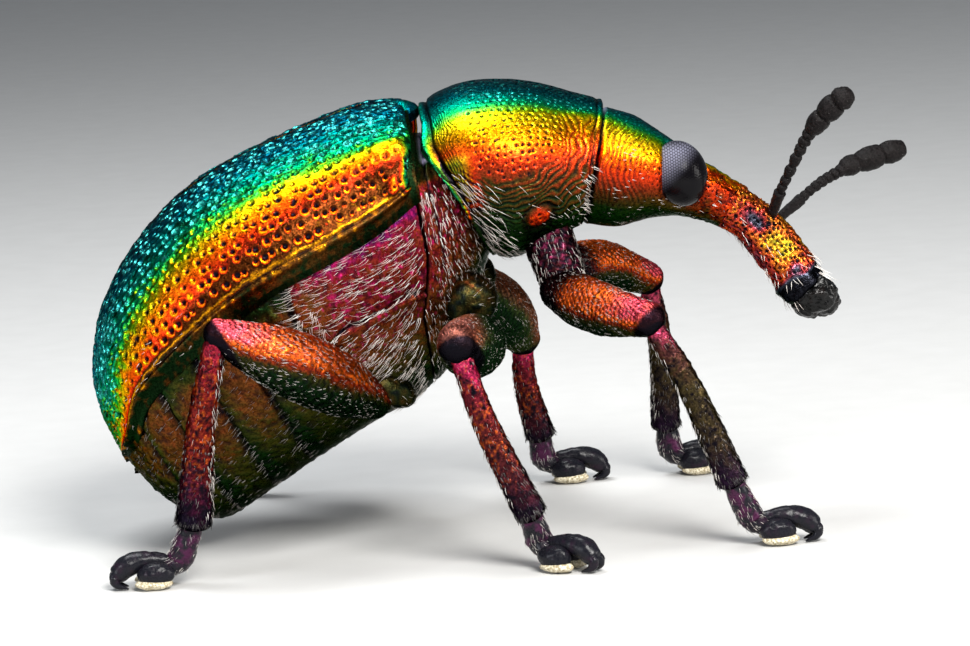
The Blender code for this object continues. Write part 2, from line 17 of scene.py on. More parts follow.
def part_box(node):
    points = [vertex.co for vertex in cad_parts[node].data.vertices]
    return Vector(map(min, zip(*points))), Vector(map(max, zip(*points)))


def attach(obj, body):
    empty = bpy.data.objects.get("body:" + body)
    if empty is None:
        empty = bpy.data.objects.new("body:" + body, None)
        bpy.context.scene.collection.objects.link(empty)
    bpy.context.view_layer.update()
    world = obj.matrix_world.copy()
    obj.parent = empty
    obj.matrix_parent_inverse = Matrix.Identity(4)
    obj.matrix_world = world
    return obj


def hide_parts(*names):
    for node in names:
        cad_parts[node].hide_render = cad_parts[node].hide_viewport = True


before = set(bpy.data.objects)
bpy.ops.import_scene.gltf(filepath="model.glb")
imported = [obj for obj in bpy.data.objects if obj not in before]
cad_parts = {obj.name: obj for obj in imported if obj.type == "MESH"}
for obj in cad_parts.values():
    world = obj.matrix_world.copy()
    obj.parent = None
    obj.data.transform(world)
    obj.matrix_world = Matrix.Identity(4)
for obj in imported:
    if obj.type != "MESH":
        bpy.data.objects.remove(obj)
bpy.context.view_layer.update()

MM = 0.001
SIDES = (("right", -1), ("left", 1))
PAIRS = ("front", "middle", "hind")

# How finely each kind of skin is meshed: rows along it and steps round it
GRIDS = {
    "wing_case": (450, 172), "pronotum": (200, 250), "head": (222, 256), "rostrum": (200, 192),
    "eye": (90, 120), "mouth": (34, 46), "scutellum": (60, 80), "coxa": (60, 90),
    "femur": (150, 112), "tibia": (140, 72), "foot": (34, 32), "pad": (22, 30), "claw": (24, 20),
}
TRUNK_TURNS = (90, (86, 150, 64))
PRONOTUM_DENSE = (25, 125, 110)
MARGIN_STEPS = 22
INNER_STEPS = 8
TRIAL_STEPS = 600

# Lengthwise tables of slanting sections: top x, top z, bottom x, bottom z, half width, and how
# far down from the top it is widest
HIND_BODY = (
    (-0.56, 4.34, 0.02, 2.64, 1.12, 0.38),
    (-0.67, 4.34, -0.30, 1.80, 1.46, 0.28),
    (-1.10, 4.34, -0.70, 1.40, 1.62, 0.33),
    (-1.70, 4.15, -1.02, 1.24, 1.75, 0.355),
    (-2.31, 3.91, -1.33, 1.07, 1.84, 0.36),
    (-2.93, 3.57, -1.77, 0.82, 1.85, 0.37),
    (-3.45, 3.06, -2.24, 0.53, 1.74, 0.37),
    (-3.79, 2.51, -2.66, 0.29, 1.50, 0.36),
    (-3.92, 1.95, -2.97, 0.33, 1.14, 0.42),
    (-3.88, 1.50, -3.25, 0.49, 0.74, 0.41),
    (-3.70, 1.02, -3.50, 0.75, 0.30, 0.40),
)
PRONOTUM = (
    (-0.50, 4.32, 0.12, 2.78, 1.06, 0.42),
    (-0.33, 4.42, 0.24, 2.74, 1.15, 0.42),
    (-0.05, 4.50, 0.38, 2.75, 1.21, 0.43),
    (0.30, 4.505, 0.56, 2.82, 1.21, 0.45),
    (0.65, 4.45, 0.74, 2.91, 1.13, 0.47),
    (0.98, 4.345, 0.90, 2.98, 0.98, 0.50),
    (1.29, 4.25, 1.02, 3.03, 0.84, 0.50),
)
HEAD = (
    (1.36, 4.16, 1.10, 3.02, 0.78, 0.45),
    (1.60, 4.07, 1.37, 2.98, 0.76, 0.45),
    (1.88, 3.87, 1.68, 3.04, 0.70, 0.45),
    (2.20, 3.62, 1.98, 3.05, 0.62, 0.42),
    (2.50, 3.41, 2.28, 2.97, 0.47, 0.45),
    (2.80, 3.17, 2.53, 2.82, 0.35, 0.50),
    (3.06, 2.92, 2.71, 2.59, 0.28, 0.50),
    (3.20, 2.72, 2.85, 2.38, 0.27, 0.50),
    (3.36, 2.49, 3.00, 2.13, 0.32, 0.50),
    (3.50, 2.30, 3.18, 2.00, 0.31, 0.50),
)
WING_CASE_POWER = 2.3
BODY_POWER = 2.1

# Wing cases: stretch, shell thickness, half the slit between them, and the turns where the smooth
# rim starts, where its seam and its crest run and where the margin lies
WING_CASE_SPAN = (1.0, 9.9)
SHELL = 0.06
SLIT = 0.006
RIM_START = 83.5
RIM_SEAM = 85.8
RIM_CREST = 87.4
MARGIN = 92.5

# The broad shoulder knob, the smooth callus on it and the dent below, each as s and turn
SHOULDER = (1.55, 57.0)
CALLUS = (1.6, 55.5)
DENT = (2.0, 73)

# The trunk under them lies a little inside their margin
OVERHANG = 0.1
LEDGE = 0.06
SUNK = 0.35

# Seams of the trunk: s over turn, or turn over s
MESO_META_SEAM = ((90, 1.10), (106, 1.08), (112, 1.16), (117, 1.27), (125, 1.45), (180, 1.6))
SLOT_SEAM = (
    (90, 3.95), (99, 4.05), (105, 4.05), (111, 3.82), (117, 3.63), (126, 3.32),
    (137, 2.97), (146, 2.62), (180, 2.35),
)
SIDE_SEAM = ((86, 0.60), (104, 0.58), (114, 0.64), (124, 0.80))
STERNUM_SEAM = ((0.9, 123), (1.27, 118), (1.6, 115), (1.95, 113), (3.3, 112), (3.8, 116))
VENTRITE_SEAMS = (4.95, 5.75, 6.6, 7.5)
ABDOMEN_END = 8.35
PYGIDIUM_END = 9.9
SCUTELLUM = ((-0.73, 0.0, 4.24), (0.20, 0.17, 0.125))

# The head is rolled a little about the neck, its right side up
PRONOTUM_END = 6.0
NECK = (1.23, 0.0, 3.59)
NECK_AHEAD = (0.976, 0.0, -0.216)
HEAD_ROLL = math.radians(-9)
EYE_MIDDLE = (1.99, 0.49, 3.455)
EYE_SIZE = (0.25, 0.24, 0.31)
EYE_LEAN = math.radians(-15)
EYE_BULGE = 1.06
FACET_PITCH = 0.024
WRINKLE_PITCH = 0.052
NECK_ROWS = 12
HEAD_END = 4.4
ROSTRUM_END = 8.6

# Coloured bands run along the body. Each line is turn over s, in the order of the ramp's hues.
WING_CASE_BANDS = (
    (0.10, ((1, 17), (10, 25))),
    (0.30, ((1, 48), (1.5, 50), (2.3, 47), (3.3, 42), (4.3, 43), (5.2, 48), (6.3, 52),
            (7.1, 62), (8, 72), (9, 80), (10, 83))),
    (0.46, ((1, 55), (1.7, 55), (2.4, 53), (3.3, 50), (4.5, 53), (5.6, 57), (6.3, 62),
            (6.7, 68), (7.5, 78), (8.5, 83), (10, 84))),
    (0.60, ((1, 65), (1.9, 61), (2.5, 59), (3.5, 59), (4.6, 63), (5.7, 67), (6.2, 70),
            (6.6, 77), (7.3, 82), (8.5, 84), (10, 85))),
    (0.72, ((1, 68), (2, 63.5), (2.9, 62.5), (3.5, 66), (4.4, 70), (5.1, 73), (5.5, 77),
            (6, 81), (7, 84), (10, 86))),
    (0.82, ((1, 72), (2.9, 71.5), (4.4, 77), (5.5, 81.8), (7, 83.2), (10, 84.2))),
    (0.86, ((1, 83.0), (4, 83.2), (10, 84.6))),
    (0.92, ((1, 84.1), (4, 84.2), (10, 85.0))),
    (0.925, ((1, 85.3), (4, 85.4), (10, 85.6))),
    (0.95, ((1, 86.2), (10, 86.2))),
    (1.00, ((1, 94), (4, 93), (6.5, 89.5), (10, 88.5))),
)
PRONOTUM_BANDS = (
    (0.10, ((0, 20), (6, 18))),
    (0.30, ((0, 50), (1, 41), (2.6, 39), (4.5, 37), (6, 33))),
    (0.46, ((0, 60), (1, 53), (2.6, 50), (4.5, 46), (6, 42))),
    (0.60, ((0, 70), (1, 68), (2.6, 72), (4.5, 70), (6, 66))),
    (0.70, ((0, 75), (1, 77), (2.6, 84), (4.5, 84), (6, 80))),
    (0.78, ((0, 80), (2.6, 93), (4.5, 98), (6, 96))),
    (0.88, ((0, 95), (2.6, 112), (6, 120))),
    (1.00, ((0, 115), (2.6, 128), (6, 138))),
)
HEAD_BANDS = (
    (0.10, ((0, 18), (1, 24), (2, 20), (3, 6), (4.4, 2))),
    (0.30, ((0, 38), (1, 46), (2, 42), (3, 18), (4.4, 5))),
    (0.46, ((0, 53), (1, 63), (2, 59), (3, 32), (4.4, 12))),
    (0.60, ((0, 87), (1, 89), (2, 82), (3, 52), (4.4, 25))),
    (0.70, ((0, 101), (1, 103), (2, 100), (3, 90), (4.4, 75))),
    (0.82, ((0, 116), (1, 118), (2, 120), (3, 135), (4.4, 150))),
    (1.00, ((0, 136), (1, 138), (2, 145), (3, 165), (4.4, 175))),
)

# Colours along the bands
METAL_HUES = (
    (0.00, (0.000, 0.055, 0.095)),
    (0.12, (0.000, 0.135, 0.205)),
    (0.24, (0.000, 0.300, 0.165)),
    (0.31, (0.005, 0.450, 0.075)),
    (0.38, (0.110, 0.580, 0.014)),
    (0.43, (0.420, 0.600, 0.008)),
    (0.47, (0.820, 0.480, 0.004)),
    (0.52, (0.900, 0.290, 0.003)),
    (0.60, (0.880, 0.110, 0.003)),
    (0.67, (0.720, 0.036, 0.005)),
    (0.72, (0.300, 0.020, 0.005)),
    (0.76, (0.080, 0.015, 0.003)),
    (0.86, (0.065, 0.017, 0.003)),
    (0.92, (0.750, 0.300, 0.006)),
    (0.95, (0.130, 0.042, 0.008)),
    (1.00, (0.008, 0.026, 0.008)),
)
PRONOTUM_HUES = (
    (0.00, (0.000, 0.055, 0.085)),
    (0.12, (0.000, 0.130, 0.165)),
    (0.24, (0.000, 0.340, 0.230)),
    (0.31, (0.010, 0.520, 0.100)),
    (0.38, (0.280, 0.720, 0.010)),
    (0.45, (0.960, 0.740, 0.008)),
    (0.53, (1.000, 0.420, 0.003)),
    (0.61, (0.980, 0.130, 0.004)),
    (0.69, (0.780, 0.045, 0.008)),
    (0.78, (0.300, 0.035, 0.010)),
    (0.88, (0.090, 0.045, 0.010)),
    (1.00, (0.012, 0.038, 0.008)),
)
ROSTRUM_HUES = (
    (0.00, (0.250, 0.500, 0.050)),
    (0.20, (0.900, 0.550, 0.030)),
    (0.42, (0.850, 0.200, 0.020)),
    (0.62, (0.620, 0.060, 0.030)),
    (0.76, (0.260, 0.045, 0.070)),
    # A blue-grey painted sheen, for the feeler's pit and before the mouth
    (0.88, (0.090, 0.105, 0.150)),
    (1.00, (0.008, 0.008, 0.011)),
)
THORAX_HUES = (
    (0.00, (0.150, 0.008, 0.120)),
    (0.15, (0.230, 0.010, 0.040)),
    (0.30, (0.190, 0.014, 0.012)),
    (0.50, (0.180, 0.042, 0.010)),
    (0.70, (0.065, 0.042, 0.009)),
    (1.00, (0.010, 0.028, 0.007)),
)
ABDOMEN_HUES = (
    (0.00, (0.190, 0.046, 0.012)),
    (0.35, (0.115, 0.046, 0.010)),
    (0.65, (0.052, 0.050, 0.009)),
    (1.00, (0.008, 0.026, 0.006)),
)
FEMUR_HUES = (
    (0.00, (0.820, 0.090, 0.130)),
    (0.20, (0.850, 0.110, 0.030)),
    (0.36, (0.780, 0.130, 0.012)),
    (0.50, (0.320, 0.030, 0.010)),
    (0.75, (0.045, 0.040, 0.009)),
    (1.00, (0.006, 0.020, 0.006)),
)
MIDDLE_FEMUR_HUES = (
    (0.00, (0.360, 0.120, 0.090)),
    (0.25, (0.330, 0.100, 0.045)),
    (0.50, (0.150, 0.070, 0.035)),
    (0.75, (0.040, 0.060, 0.016)),
    (1.00, (0.008, 0.028, 0.008)),
)
HIND_TIBIA_HUES = (
    (0.00, (0.420, 0.026, 0.060)),
    (0.15, (0.270, 0.013, 0.026)),
    (0.40, (0.180, 0.015, 0.010)),
    (0.70, (0.120, 0.011, 0.010)),
    (0.88, (0.045, 0.007, 0.022)),
    (1.00, (0.010, 0.006, 0.014)),
)
MIDDLE_TIBIA_HUES = (
    (0.00, (0.900, 0.150, 0.200)),
    (0.14, (0.620, 0.030, 0.120)),
    (0.30, (0.190, 0.014, 0.026)),
    (0.60, (0.130, 0.020, 0.016)),
    (0.88, (0.050, 0.012, 0.020)),
    (1.00, (0.014, 0.008, 0.016)),
)
FRONT_TIBIA_HUES = (
    (0.00, (0.900, 0.200, 0.160)),
    (0.08, (0.620, 0.060, 0.140)),
    (0.20, (0.110, 0.030, 0.030)),
    (0.50, (0.060, 0.045, 0.018)),
    (0.82, (0.045, 0.030, 0.018)),
    (1.00, (0.022, 0.010, 0.026)),
)
COXA_HUES = (
    (0.00, (0.150, 0.018, 0.055)),
    (0.30, (0.050, 0.009, 0.014)),
    (0.60, (0.022, 0.009, 0.006)),
    (1.00, (0.008, 0.008, 0.006)),
)
# Places on the ramp of the wing cases
GREEN = 0.27
OLIVE = 0.345
# The painted gold highlight on the lips of the pits
GOLD_HIGHLIGHT = 0.49
YELLOW = 0.50

# Half the width of a pit
WING_CASE_PIT = 0.042
PRONOTUM_PIT = 0.022
HEAD_PIT = 0.019
ROSTRUM_PIT = 0.026

# Black for painted shade in pits, in a hollow of the snout and on the neck, and for dark colour
SHADE_AND_BLACK = (0.006, 0.005, 0.008)
# Painted highlight for the pits in the cool bands
GLINT_CYAN = (0.085, 0.700, 0.620)
GLINT_MAGENTA = (0.480, 0.012, 0.120)
GLINT_AMBER = (0.560, 0.105, 0.015)
MEMBRANE = (0.240, 0.220, 0.330)
EDGE_SHEEN = (0.300, 0.340, 0.300)
EYE_BLACK = (0.002, 0.0015, 0.002)
# Painted sheen on the eye, a reflection of the light
EYE_PAINTED_SHEEN = (0.150, 0.150, 0.205)
FACET_EDGE = (0.002, 0.002, 0.003)
FEELER_BLACK = (0.002, 0.0015, 0.0015)
FEELER_BROWN = (0.009, 0.007, 0.007)
SOLE_DEEP = (0.30, 0.24, 0.13)
SOLE_PALE = (0.78, 0.72, 0.55)
HORN_BLACK = (0.006, 0.006, 0.009)
HORN_GLEAM = (0.11, 0.02, 0.075)
MOUTH_BLACK = (0.002, 0.002, 0.002)
MOUTH_GLEAM = (0.07, 0.03, 0.02)
HAIR_PALE = (0.78, 0.75, 0.70)
HAIR_DEEP = (0.50, 0.44, 0.40)
BRISTLE_BLACK = (0.010, 0.008, 0.009)

# Feelers, from the root out to the tip
FEELERS = {
    "right": (
        (2.86, -0.10, 2.90), (2.97, -0.42, 3.25), (3.05, -0.55, 3.44), (3.17, -0.70, 3.70),
        (3.265, -0.80, 3.88), (3.39, -0.88, 4.04), (3.54, -0.95, 4.19), (3.66, -1.00, 4.28),
    ),
    "left": (
        (2.90, 0.10, 2.88), (3.21, 0.42, 3.067), (3.365, 0.55, 3.171), (3.52, 0.68, 3.248),
        (3.672, 0.78, 3.311), (3.824, 0.88, 3.362), (4.10, 1.00, 3.423), (4.34, 1.08, 3.47),
    ),
}

# Left coxae: knots of a front one, and the middle, half sizes and lean about Y of the others
FRONT_COXA = (
    (0.60, 0.42, 3.16, 0.26, 0.27), (0.68, 0.47, 2.90, 0.25, 0.25),
    (0.76, 0.56, 2.64, 0.235, 0.24), (0.82, 0.66, 2.45, 0.21, 0.22),
)
ROUND_COXAE = {
    "middle": ((-0.16, 0.80, 2.44), (0.30, 0.28, 0.28), 0.0),
    "hind": ((-1.05, 0.84, 1.66), (0.38, 0.28, 0.19), 0.55),
}

# Legs: hip, middle of the femur, knee, ankle, the pads' place, and the claws' heading
LEGS = {
    ("front", "right"): (
        (0.76, -0.68, 2.46), (1.13, -1.25, 2.34), (1.57, -1.84, 2.30),
        (2.30, -1.76, 0.68), (2.66, -1.66), 3,
    ),
    ("front", "left"): (
        (0.76, 0.68, 2.46), (1.20, 1.30, 2.42), (1.71, 1.98, 2.16),
        (1.84, 2.34, 0.56), (2.06, 2.40), 8,
    ),
    ("middle", "right"): (
        (-0.05, -1.00, 2.10), (-0.12, -1.76, 2.12), (-0.28, -2.48, 2.26),
        (0.33, -2.36, 0.58), (0.56, -2.36), -35,
    ),
    ("middle", "left"): (
        (-0.14, 1.00, 2.40), (0.14, 1.55, 2.02), (0.38, 2.02, 1.60),
        (0.51, 2.26, 0.54), (0.72, 2.30), 4,
    ),
    ("hind", "right"): (
        (-1.14, -1.06, 1.52), (-1.84, -1.96, 2.06), (-2.56, -2.26, 2.46),
        (-2.90, -2.20, 0.64), (-3.24, -2.12), 184,
    ),
    ("hind", "left"): (
        (-1.14, 1.06, 1.52), (-1.75, 1.96, 1.98), (-2.30, 2.34, 2.26),
        (-2.36, 2.42, 0.62), (-2.64, 2.44), 178,
    ),
}
# Half a femur's thickness along it, and how far before the knee its black cap begins
FEMUR_HALF = {
    "front": (0.21, 0.255, 0.26, 0.25, 0.21, 0.175),
    "middle": (0.17, 0.25, 0.30, 0.31, 0.27, 0.19),
    "hind": (0.18, 0.30, 0.335, 0.315, 0.245, 0.145),
}
KNEE_CAPS = {"front": -0.02, "middle": 0.18, "hind": -0.15}


def row_at(rows, s):
    """The values at every s on a smooth curve that runs through the rows."""
    table = np.asarray(rows, float)
    last = len(table) - 1
    start = np.clip(np.floor(s).astype(int), 0, last - 1)
    t = (s - start)[:, None]
    here = table[start]
    there = table[start + 1]
    first = (start == 0)[:, None]
    final = (start == last - 1)[:, None]
    before = np.where(first, 2 * here - there, table[np.maximum(start - 1, 0)])
    after = np.where(final, 2 * there - here, table[np.minimum(start + 2, last)])
    cubic = 3 * (here - there) + after - before
    square = 2 * before - 5 * here + 4 * there - after
    return here + 0.5 * t * (there - before + t * (square + t * cubic))


def unit(vectors):
    """The vectors, each made one long."""
    lengths = np.linalg.norm(vectors, axis=1)
    return vectors / np.maximum(lengths, 1e-12)[:, None]


def soft_step(low, high, value):
    """0 below low, 1 above high, and a soft rise between."""
    t = np.clip((value - low) / (high - low), 0.0, 1.0)
    return t * t * (3 - 2 * t)


def along_line(pairs, value):
    """What a line of pairs gives at each value."""
    start, height = zip(*pairs)
    return np.interp(value, start, height)


def toward(value, goal, share):
    """The value moved toward a goal by a share of the way."""
    return value + (goal - value) * share


def line_near(distance, width):
    """1 on a line, fading out over a width on both sides."""
    return np.exp(-(distance / width) ** 2)


def spot_near(s, turn, place, reach):
    """1 at a place of a skin, fading out over a reach along it and round it."""
    return np.exp(-((s - place[0]) / reach[0]) ** 2 - ((turn - place[1]) / reach[1]) ** 2)


def ripple(phase):
    """Even ripples from 0 to 1, one for each whole step of the phase."""
    return 0.5 + 0.5 * np.cos(2 * math.pi * phase)


def grain(points, size, seed):
    """Smooth noise from 0 to 1, in lumps of about the given size."""
    cells = points / size + 1000.0
    low = np.floor(cells).astype(np.int64)
    t = cells - low
    t = t * t * (3 - 2 * t)
    total = np.zeros(len(points))
    for corner in range(8):
        pick = np.array([corner & 1, corner >> 1 & 1, corner >> 2 & 1])
        key = (low + pick) @ np.array([73856093, 19349663, 83492791]) + seed * 7919
        key = (key ^ (key >> 13)) * 1274126177 & 0x7FFFFFFF
        value = (key ^ (key >> 16)) % 1024 / 1023
        total += value * np.prod(np.where(pick, t, 1 - t), axis=1)
    return total


def wobble(points, size, seed):
    """Smooth noise from -0.5 to 0.5."""
    return grain(points, size, seed) - 0.5


def oval(rows, power, s, turn, shrink, push, inset=0.0, ledge=0.0, sunk=0.0):
    """Points of oval sections. Inset narrows them, ledge and sunk lower their side and top."""
    top_x, top_z, low_x, low_z, half, level = row_at(rows, s).T
    reach_x = low_x - top_x
    reach_z = low_z - top_z
    height = np.hypot(reach_x, reach_z)
    side = level + ledge / height
    angle = np.radians(np.abs(turn))
    upper = angle <= math.pi / 2
    fold = np.where(upper, angle, math.pi - angle)
    rise = np.clip(np.cos(fold), 0.0, 1.0) ** (2 / power)
    reach = np.clip(np.sin(fold), 0.0, 1.0) ** (2 / power)
    end = np.where(upper, sunk / height, 1.0)
    down = side + (end - side) * rise * shrink
    x = top_x + reach_x * down + push * reach_z / height
    z = top_z + reach_z * down - push * reach_x / height
    y = np.sign(turn) * (half - inset) * reach * shrink
    return np.stack((x, y, z), axis=1)


def tube(knots, up, s, turn, shrink, push):
    """Points of a tube along knots of x, y, z, half across and half deep."""
    def middle(place):
        return row_at(knots, place)

    row = middle(s)
    ahead = unit((middle(s + 0.02) - middle(s - 0.02))[:, :3])
    side = unit(np.cross(ahead, up))
    over = np.cross(side, ahead)
    angle = np.radians(turn)
    across = (row[:, 3] * np.sin(angle) * shrink)[:, None] * side
    deep = (row[:, 4] * np.cos(angle) * shrink)[:, None] * over
    return row[:, :3] + across + deep + push[:, None] * ahead


def on_skin(surface, s, turn):
    """Points of a surface as it is, neither shrunk nor pushed."""
    return surface(s, turn, np.ones_like(s), np.zeros_like(s))


def lattice(surface, s_line, turn_line):
    """Points of a surface wherever two sets of lines on it cross."""
    s, turn = (part.ravel() for part in np.meshgrid(s_line, turn_line, indexing="ij"))
    return on_skin(surface, s, turn).reshape(len(s_line), len(turn_line), 3)


def run_along(line):
    """How far along a line of points each of them lies."""
    steps = np.linalg.norm(np.diff(line, axis=0), axis=1)
    return np.concatenate(([0.0], np.cumsum(steps)))


def frame_of(surface, s, turn, shrink=None, push=None):
    """Points of a surface, its two tangents and its outward normal."""
    shrink = np.ones_like(s) if shrink is None else shrink
    push = np.zeros_like(s) if push is None else push
    point = surface(s, turn, shrink, push)
    along = unit(surface(s + 0.01, turn, shrink, push) - surface(s - 0.01, turn, shrink, push))
    around = surface(s, turn + 0.6, shrink, push) - surface(s, turn - 0.6, shrink, push)
    around -= along * np.einsum("ij,ij->i", around, along)[:, None]
    around = unit(around)
    normal = np.cross(along, around)
    inner = surface(s, turn, shrink * 0.9, push)
    outward = np.sign(np.einsum("ij,ij->i", normal, point - inner))
    normal *= np.where(outward == 0, 1.0, outward)[:, None]
    return point, along, around, normal


def stations(start, end, count, dome_in=0.0, dome_out=0.0, steps=5):
    """Rows of s, shrink and push along a skin. A dome rounds an end off by its height."""
    rows = [(s, 1.0, 0.0) for s in np.linspace(start, end, count)]
    bends = np.radians(np.linspace(86, 15, steps))
    if dome_in:
        rows = [(start, math.cos(b), -dome_in * math.sin(b)) for b in bends] + rows
    if dome_out:
        rows += [(end, math.cos(b), dome_out * math.sin(b)) for b in bends[::-1]]
    return np.array(rows)


def full_turn(count, dense=None):
    """Turns all the way round, closer together over a dense stretch."""
    turns = np.linspace(-180.0, 180.0, count + 1)
    if dense:
        low, high, extra = dense
        for side in (-1, 1):
            turns = np.concatenate((turns, side * np.linspace(low, high, extra)))
        turns = np.unique(np.round(turns, 4))
    return turns


def linked(name, data):
    """A new object in the scene."""
    made = bpy.data.objects.new(name, data)
    bpy.context.scene.collection.objects.link(made)
    return made


def mesh_from(shape, name):
    """A mesh made from a shape, which is freed."""
    mesh = bpy.data.meshes.new(name)
    shape.to_mesh(mesh)
    shape.free()
    return mesh


def points_of(mesh):
    """The points of a mesh, as rows of x, y and z."""
    flat = np.empty(len(mesh.vertices) * 3, np.float32)
    mesh.vertices.foreach_get("co", flat)
    return flat.reshape(-1, 3)


def put_points(mesh, points):
    """Moves the points of a mesh."""
    mesh.vertices.foreach_set("co", points.astype(np.float32).ravel())


def put_mark(mesh, label, values):
    """Notes a number at every point of a mesh, for its material to read."""
    layer = mesh.attributes.new(label, "FLOAT", "POINT")
    layer.data.foreach_set("value", np.asarray(values, np.float32))


def skin(name, rows, turns, surface, relief):
    """A closed skin: a grid laid on a surface, raised and marked by its relief.

    Rows are stations, and turns close on themselves. The relief returns heights in millimetres
    and the marks that the material reads.
    """
    shape = bmesh.new()
    across = len(rows) - 1
    bmesh.ops.create_grid(shape, x_segments=across, y_segments=len(turns) - 1, size=1.0)
    unwrap = shape.loops.layers.uv.new("Wrap")
    for face in shape.faces:
        for loop in face.loops:
            loop[unwrap].uv = (loop.vert.co.x * 0.5 + 0.5, loop.vert.co.y * 0.5 + 0.5)
    mesh = mesh_from(shape, name)
    flat = points_of(mesh)
    row = np.rint((flat[:, 0] + 1) / 2 * across).astype(int)
    column = np.rint((flat[:, 1] + 1) / 2 * (len(turns) - 1)).astype(int)
    s, shrink, push = rows[row].T
    turn = turns[column]
    point, _, _, normal = frame_of(surface, s, turn, shrink, push)
    height, marks = relief(s, turn, point)
    put_points(mesh, point + normal * (height * soft_step(0.5, 1.0, shrink))[:, None])
    for label, values in marks.items():
        put_mark(mesh, label, values)
    return sealed(name, mesh)


def sealed(name, mesh):
    """The mesh as an object, its seam merged, its ends filled and its faces outward."""
    shape = bmesh.new()
    shape.from_mesh(mesh)
    bmesh.ops.remove_doubles(shape, verts=shape.verts, dist=1e-5)
    open_edges = [edge for edge in shape.edges if edge.is_boundary]
    filled = bmesh.ops.holes_fill(shape, edges=open_edges, sides=0)
    bmesh.ops.triangulate(shape, faces=filled["faces"])
    bmesh.ops.recalc_face_normals(shape, faces=shape.faces)
    shape.to_mesh(mesh)
    shape.free()
    mesh.shade_smooth()
    return linked(name, mesh)


def banded(bands, s, turn):
    """Where each point lies on the ramp, from lines of turn over s."""
    angle = np.abs(turn)
    tones = [tone for tone, _ in bands]
    lines = np.array([along_line(pairs, s) for _, pairs in bands])
    lines = np.maximum.accumulate(lines + np.arange(len(lines))[:, None] * 1e-3, axis=0)
    result = np.full_like(angle, tones[0]) * np.clip(angle / lines[0], 0.0, 1.0)
    for i in range(len(tones) - 1):
        share = (angle - lines[i]) / np.maximum(lines[i + 1] - lines[i], 1e-9)
        inside = (share >= 0) & (share < 1)
        result[inside] = tones[i] + share[inside] * (tones[i + 1] - tones[i])
    result[angle >= lines[-1]] = tones[-1]
    return result


def pit_centres(surface, stretch, turn_range, spacing, seed):
    """Pits in staggered rough rows, about spacing apart on a stretch of a surface."""
    rng = np.random.default_rng(seed)
    s_line = np.linspace(*stretch, 160)
    t_line = np.linspace(*turn_range, 120)
    places = lattice(surface, s_line, t_line)
    steps = np.linalg.norm(np.diff(places, axis=1), axis=2)
    arc = np.concatenate((np.zeros((len(s_line), 1)), np.cumsum(steps, axis=1)), axis=1)
    count = max(int(arc[:, -1].max() / spacing), 1)
    centres = []
    for k in range(count):
        share = (k + 0.5) / count
        turns = np.array([np.interp(share * a[-1], a, t_line) for a in arc])
        row = on_skin(surface, s_line, turns)
        run = run_along(row)
        width = np.interp(0.5 * run[-1], run, arc[:, -1]) / count
        at = np.arange((0.25 + 0.5 * (k % 2)) * spacing, run[-1], spacing)
        crowd = np.interp(at, run, arc[:, -1] / count) / width
        at = at[rng.random(len(at)) < np.clip(crowd * 1.6, 0.0, 1.0)]
        at = np.clip(at + rng.normal(0.0, 0.16 * spacing, len(at)), 0.0, run[-1])
        place = np.stack([np.interp(at, run, row[:, axis]) for axis in range(3)], axis=1)
        centres.append(place + rng.normal(0.0, 0.09 * spacing, place.shape))
    return np.concatenate(centres)


def pit_reach(points, centres, radius, seed):
    """The distance of each point to the nearest pit, in radii of that pit."""
    tree = KDTree(len(centres))
    for index, centre in enumerate(centres):
        tree.insert(centre, index)
    tree.balance()
    found = [tree.find(point)[1:] for point in points.tolist()]
    index, distance = (np.array(part) for part in zip(*found))
    sizes = np.random.default_rng(seed).uniform(0.8, 1.2, len(centres)) * radius
    return distance / sizes[index]


def bowl(reach):
    """The depth from 0 to 1 of a round pit."""
    return np.clip(1 - reach ** 2, 0.0, 1.0)


def lip_of_pits(points, reach, centres, radius, seed, size=1.0):
    """1 on the lower lip of each pit, which catches the light, and 0 elsewhere."""
    below = pit_reach(points + np.array((0.0, 0.0, 0.48 * radius)), centres, radius, seed)
    return soft_step(1.25, 0.80, below / size) * soft_step(0.55, 0.85, reach)


def settled(piece, slot, *nodes):
    """Moves a finished piece into the solids' frame and hides the parts that it stands for."""
    piece.data.transform(Matrix.Scale(MM, 4) @ Matrix.Translation(SHIFT))
    piece.data.update()
    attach(piece, "root")
    if nodes:
        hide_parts(*nodes)
    return piece


def dressed(piece, material):
    """Gives a piece its material."""
    piece.data.materials.clear()
    piece.data.materials.append(material)
    return piece


def covered(node, suffix, slot, material, rows, turns, surface, relief):
    """Builds the skin that stands for one node of the solids."""
    piece = skin(f"{node}_{suffix}", rows, turns, surface, relief)
    return settled(dressed(piece, material), slot, node)


def mirrored(piece, name):
    """A copy of a piece on the other side of the mid-plane."""
    mesh = piece.data.copy()
    shape = bmesh.new()
    shape.from_mesh(mesh)
    bmesh.ops.scale(shape, vec=(1.0, -1.0, 1.0), verts=shape.verts)
    bmesh.ops.reverse_faces(shape, faces=shape.faces)
    shape.to_mesh(mesh)
    shape.free()
    return linked(name, mesh)


def roll_matrix():
    """The turn of the head about the neck."""
    turn = Matrix.Rotation(HEAD_ROLL, 4, Vector(NECK_AHEAD))
    return Matrix.Translation(NECK) @ turn @ Matrix.Translation(-Vector(NECK))


def rolled_points(points):
    """Points turned with the head."""
    matrix = np.array(roll_matrix())
    return points @ matrix[:3, :3].T + matrix[:3, 3]


def measured_shift():
    """From the tables' frame to the frame of the solids, through the middle of an eye."""
    low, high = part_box("eye_right")
    found = (low + high) / (2 * MM)
    x, y, z = EYE_MIDDLE
    return found - roll_matrix() @ Vector((x, -y, z))


SHIFT = measured_shift()


class Value:
    """A socket of a material, on which maths is written as on a number."""

    def __init__(self, net, socket):
        self.net = net
        self.socket = socket

    def __add__(self, other):
        return self.net.maths("ADD", self, other)

    def __sub__(self, other):
        return self.net.maths("SUBTRACT", self, other)

    def __rsub__(self, other):
        return self.net.maths("SUBTRACT", other, self)

    def __mul__(self, other):
        return self.net.maths("MULTIPLY", self, other)

    __radd__ = __add__
    __rmul__ = __mul__


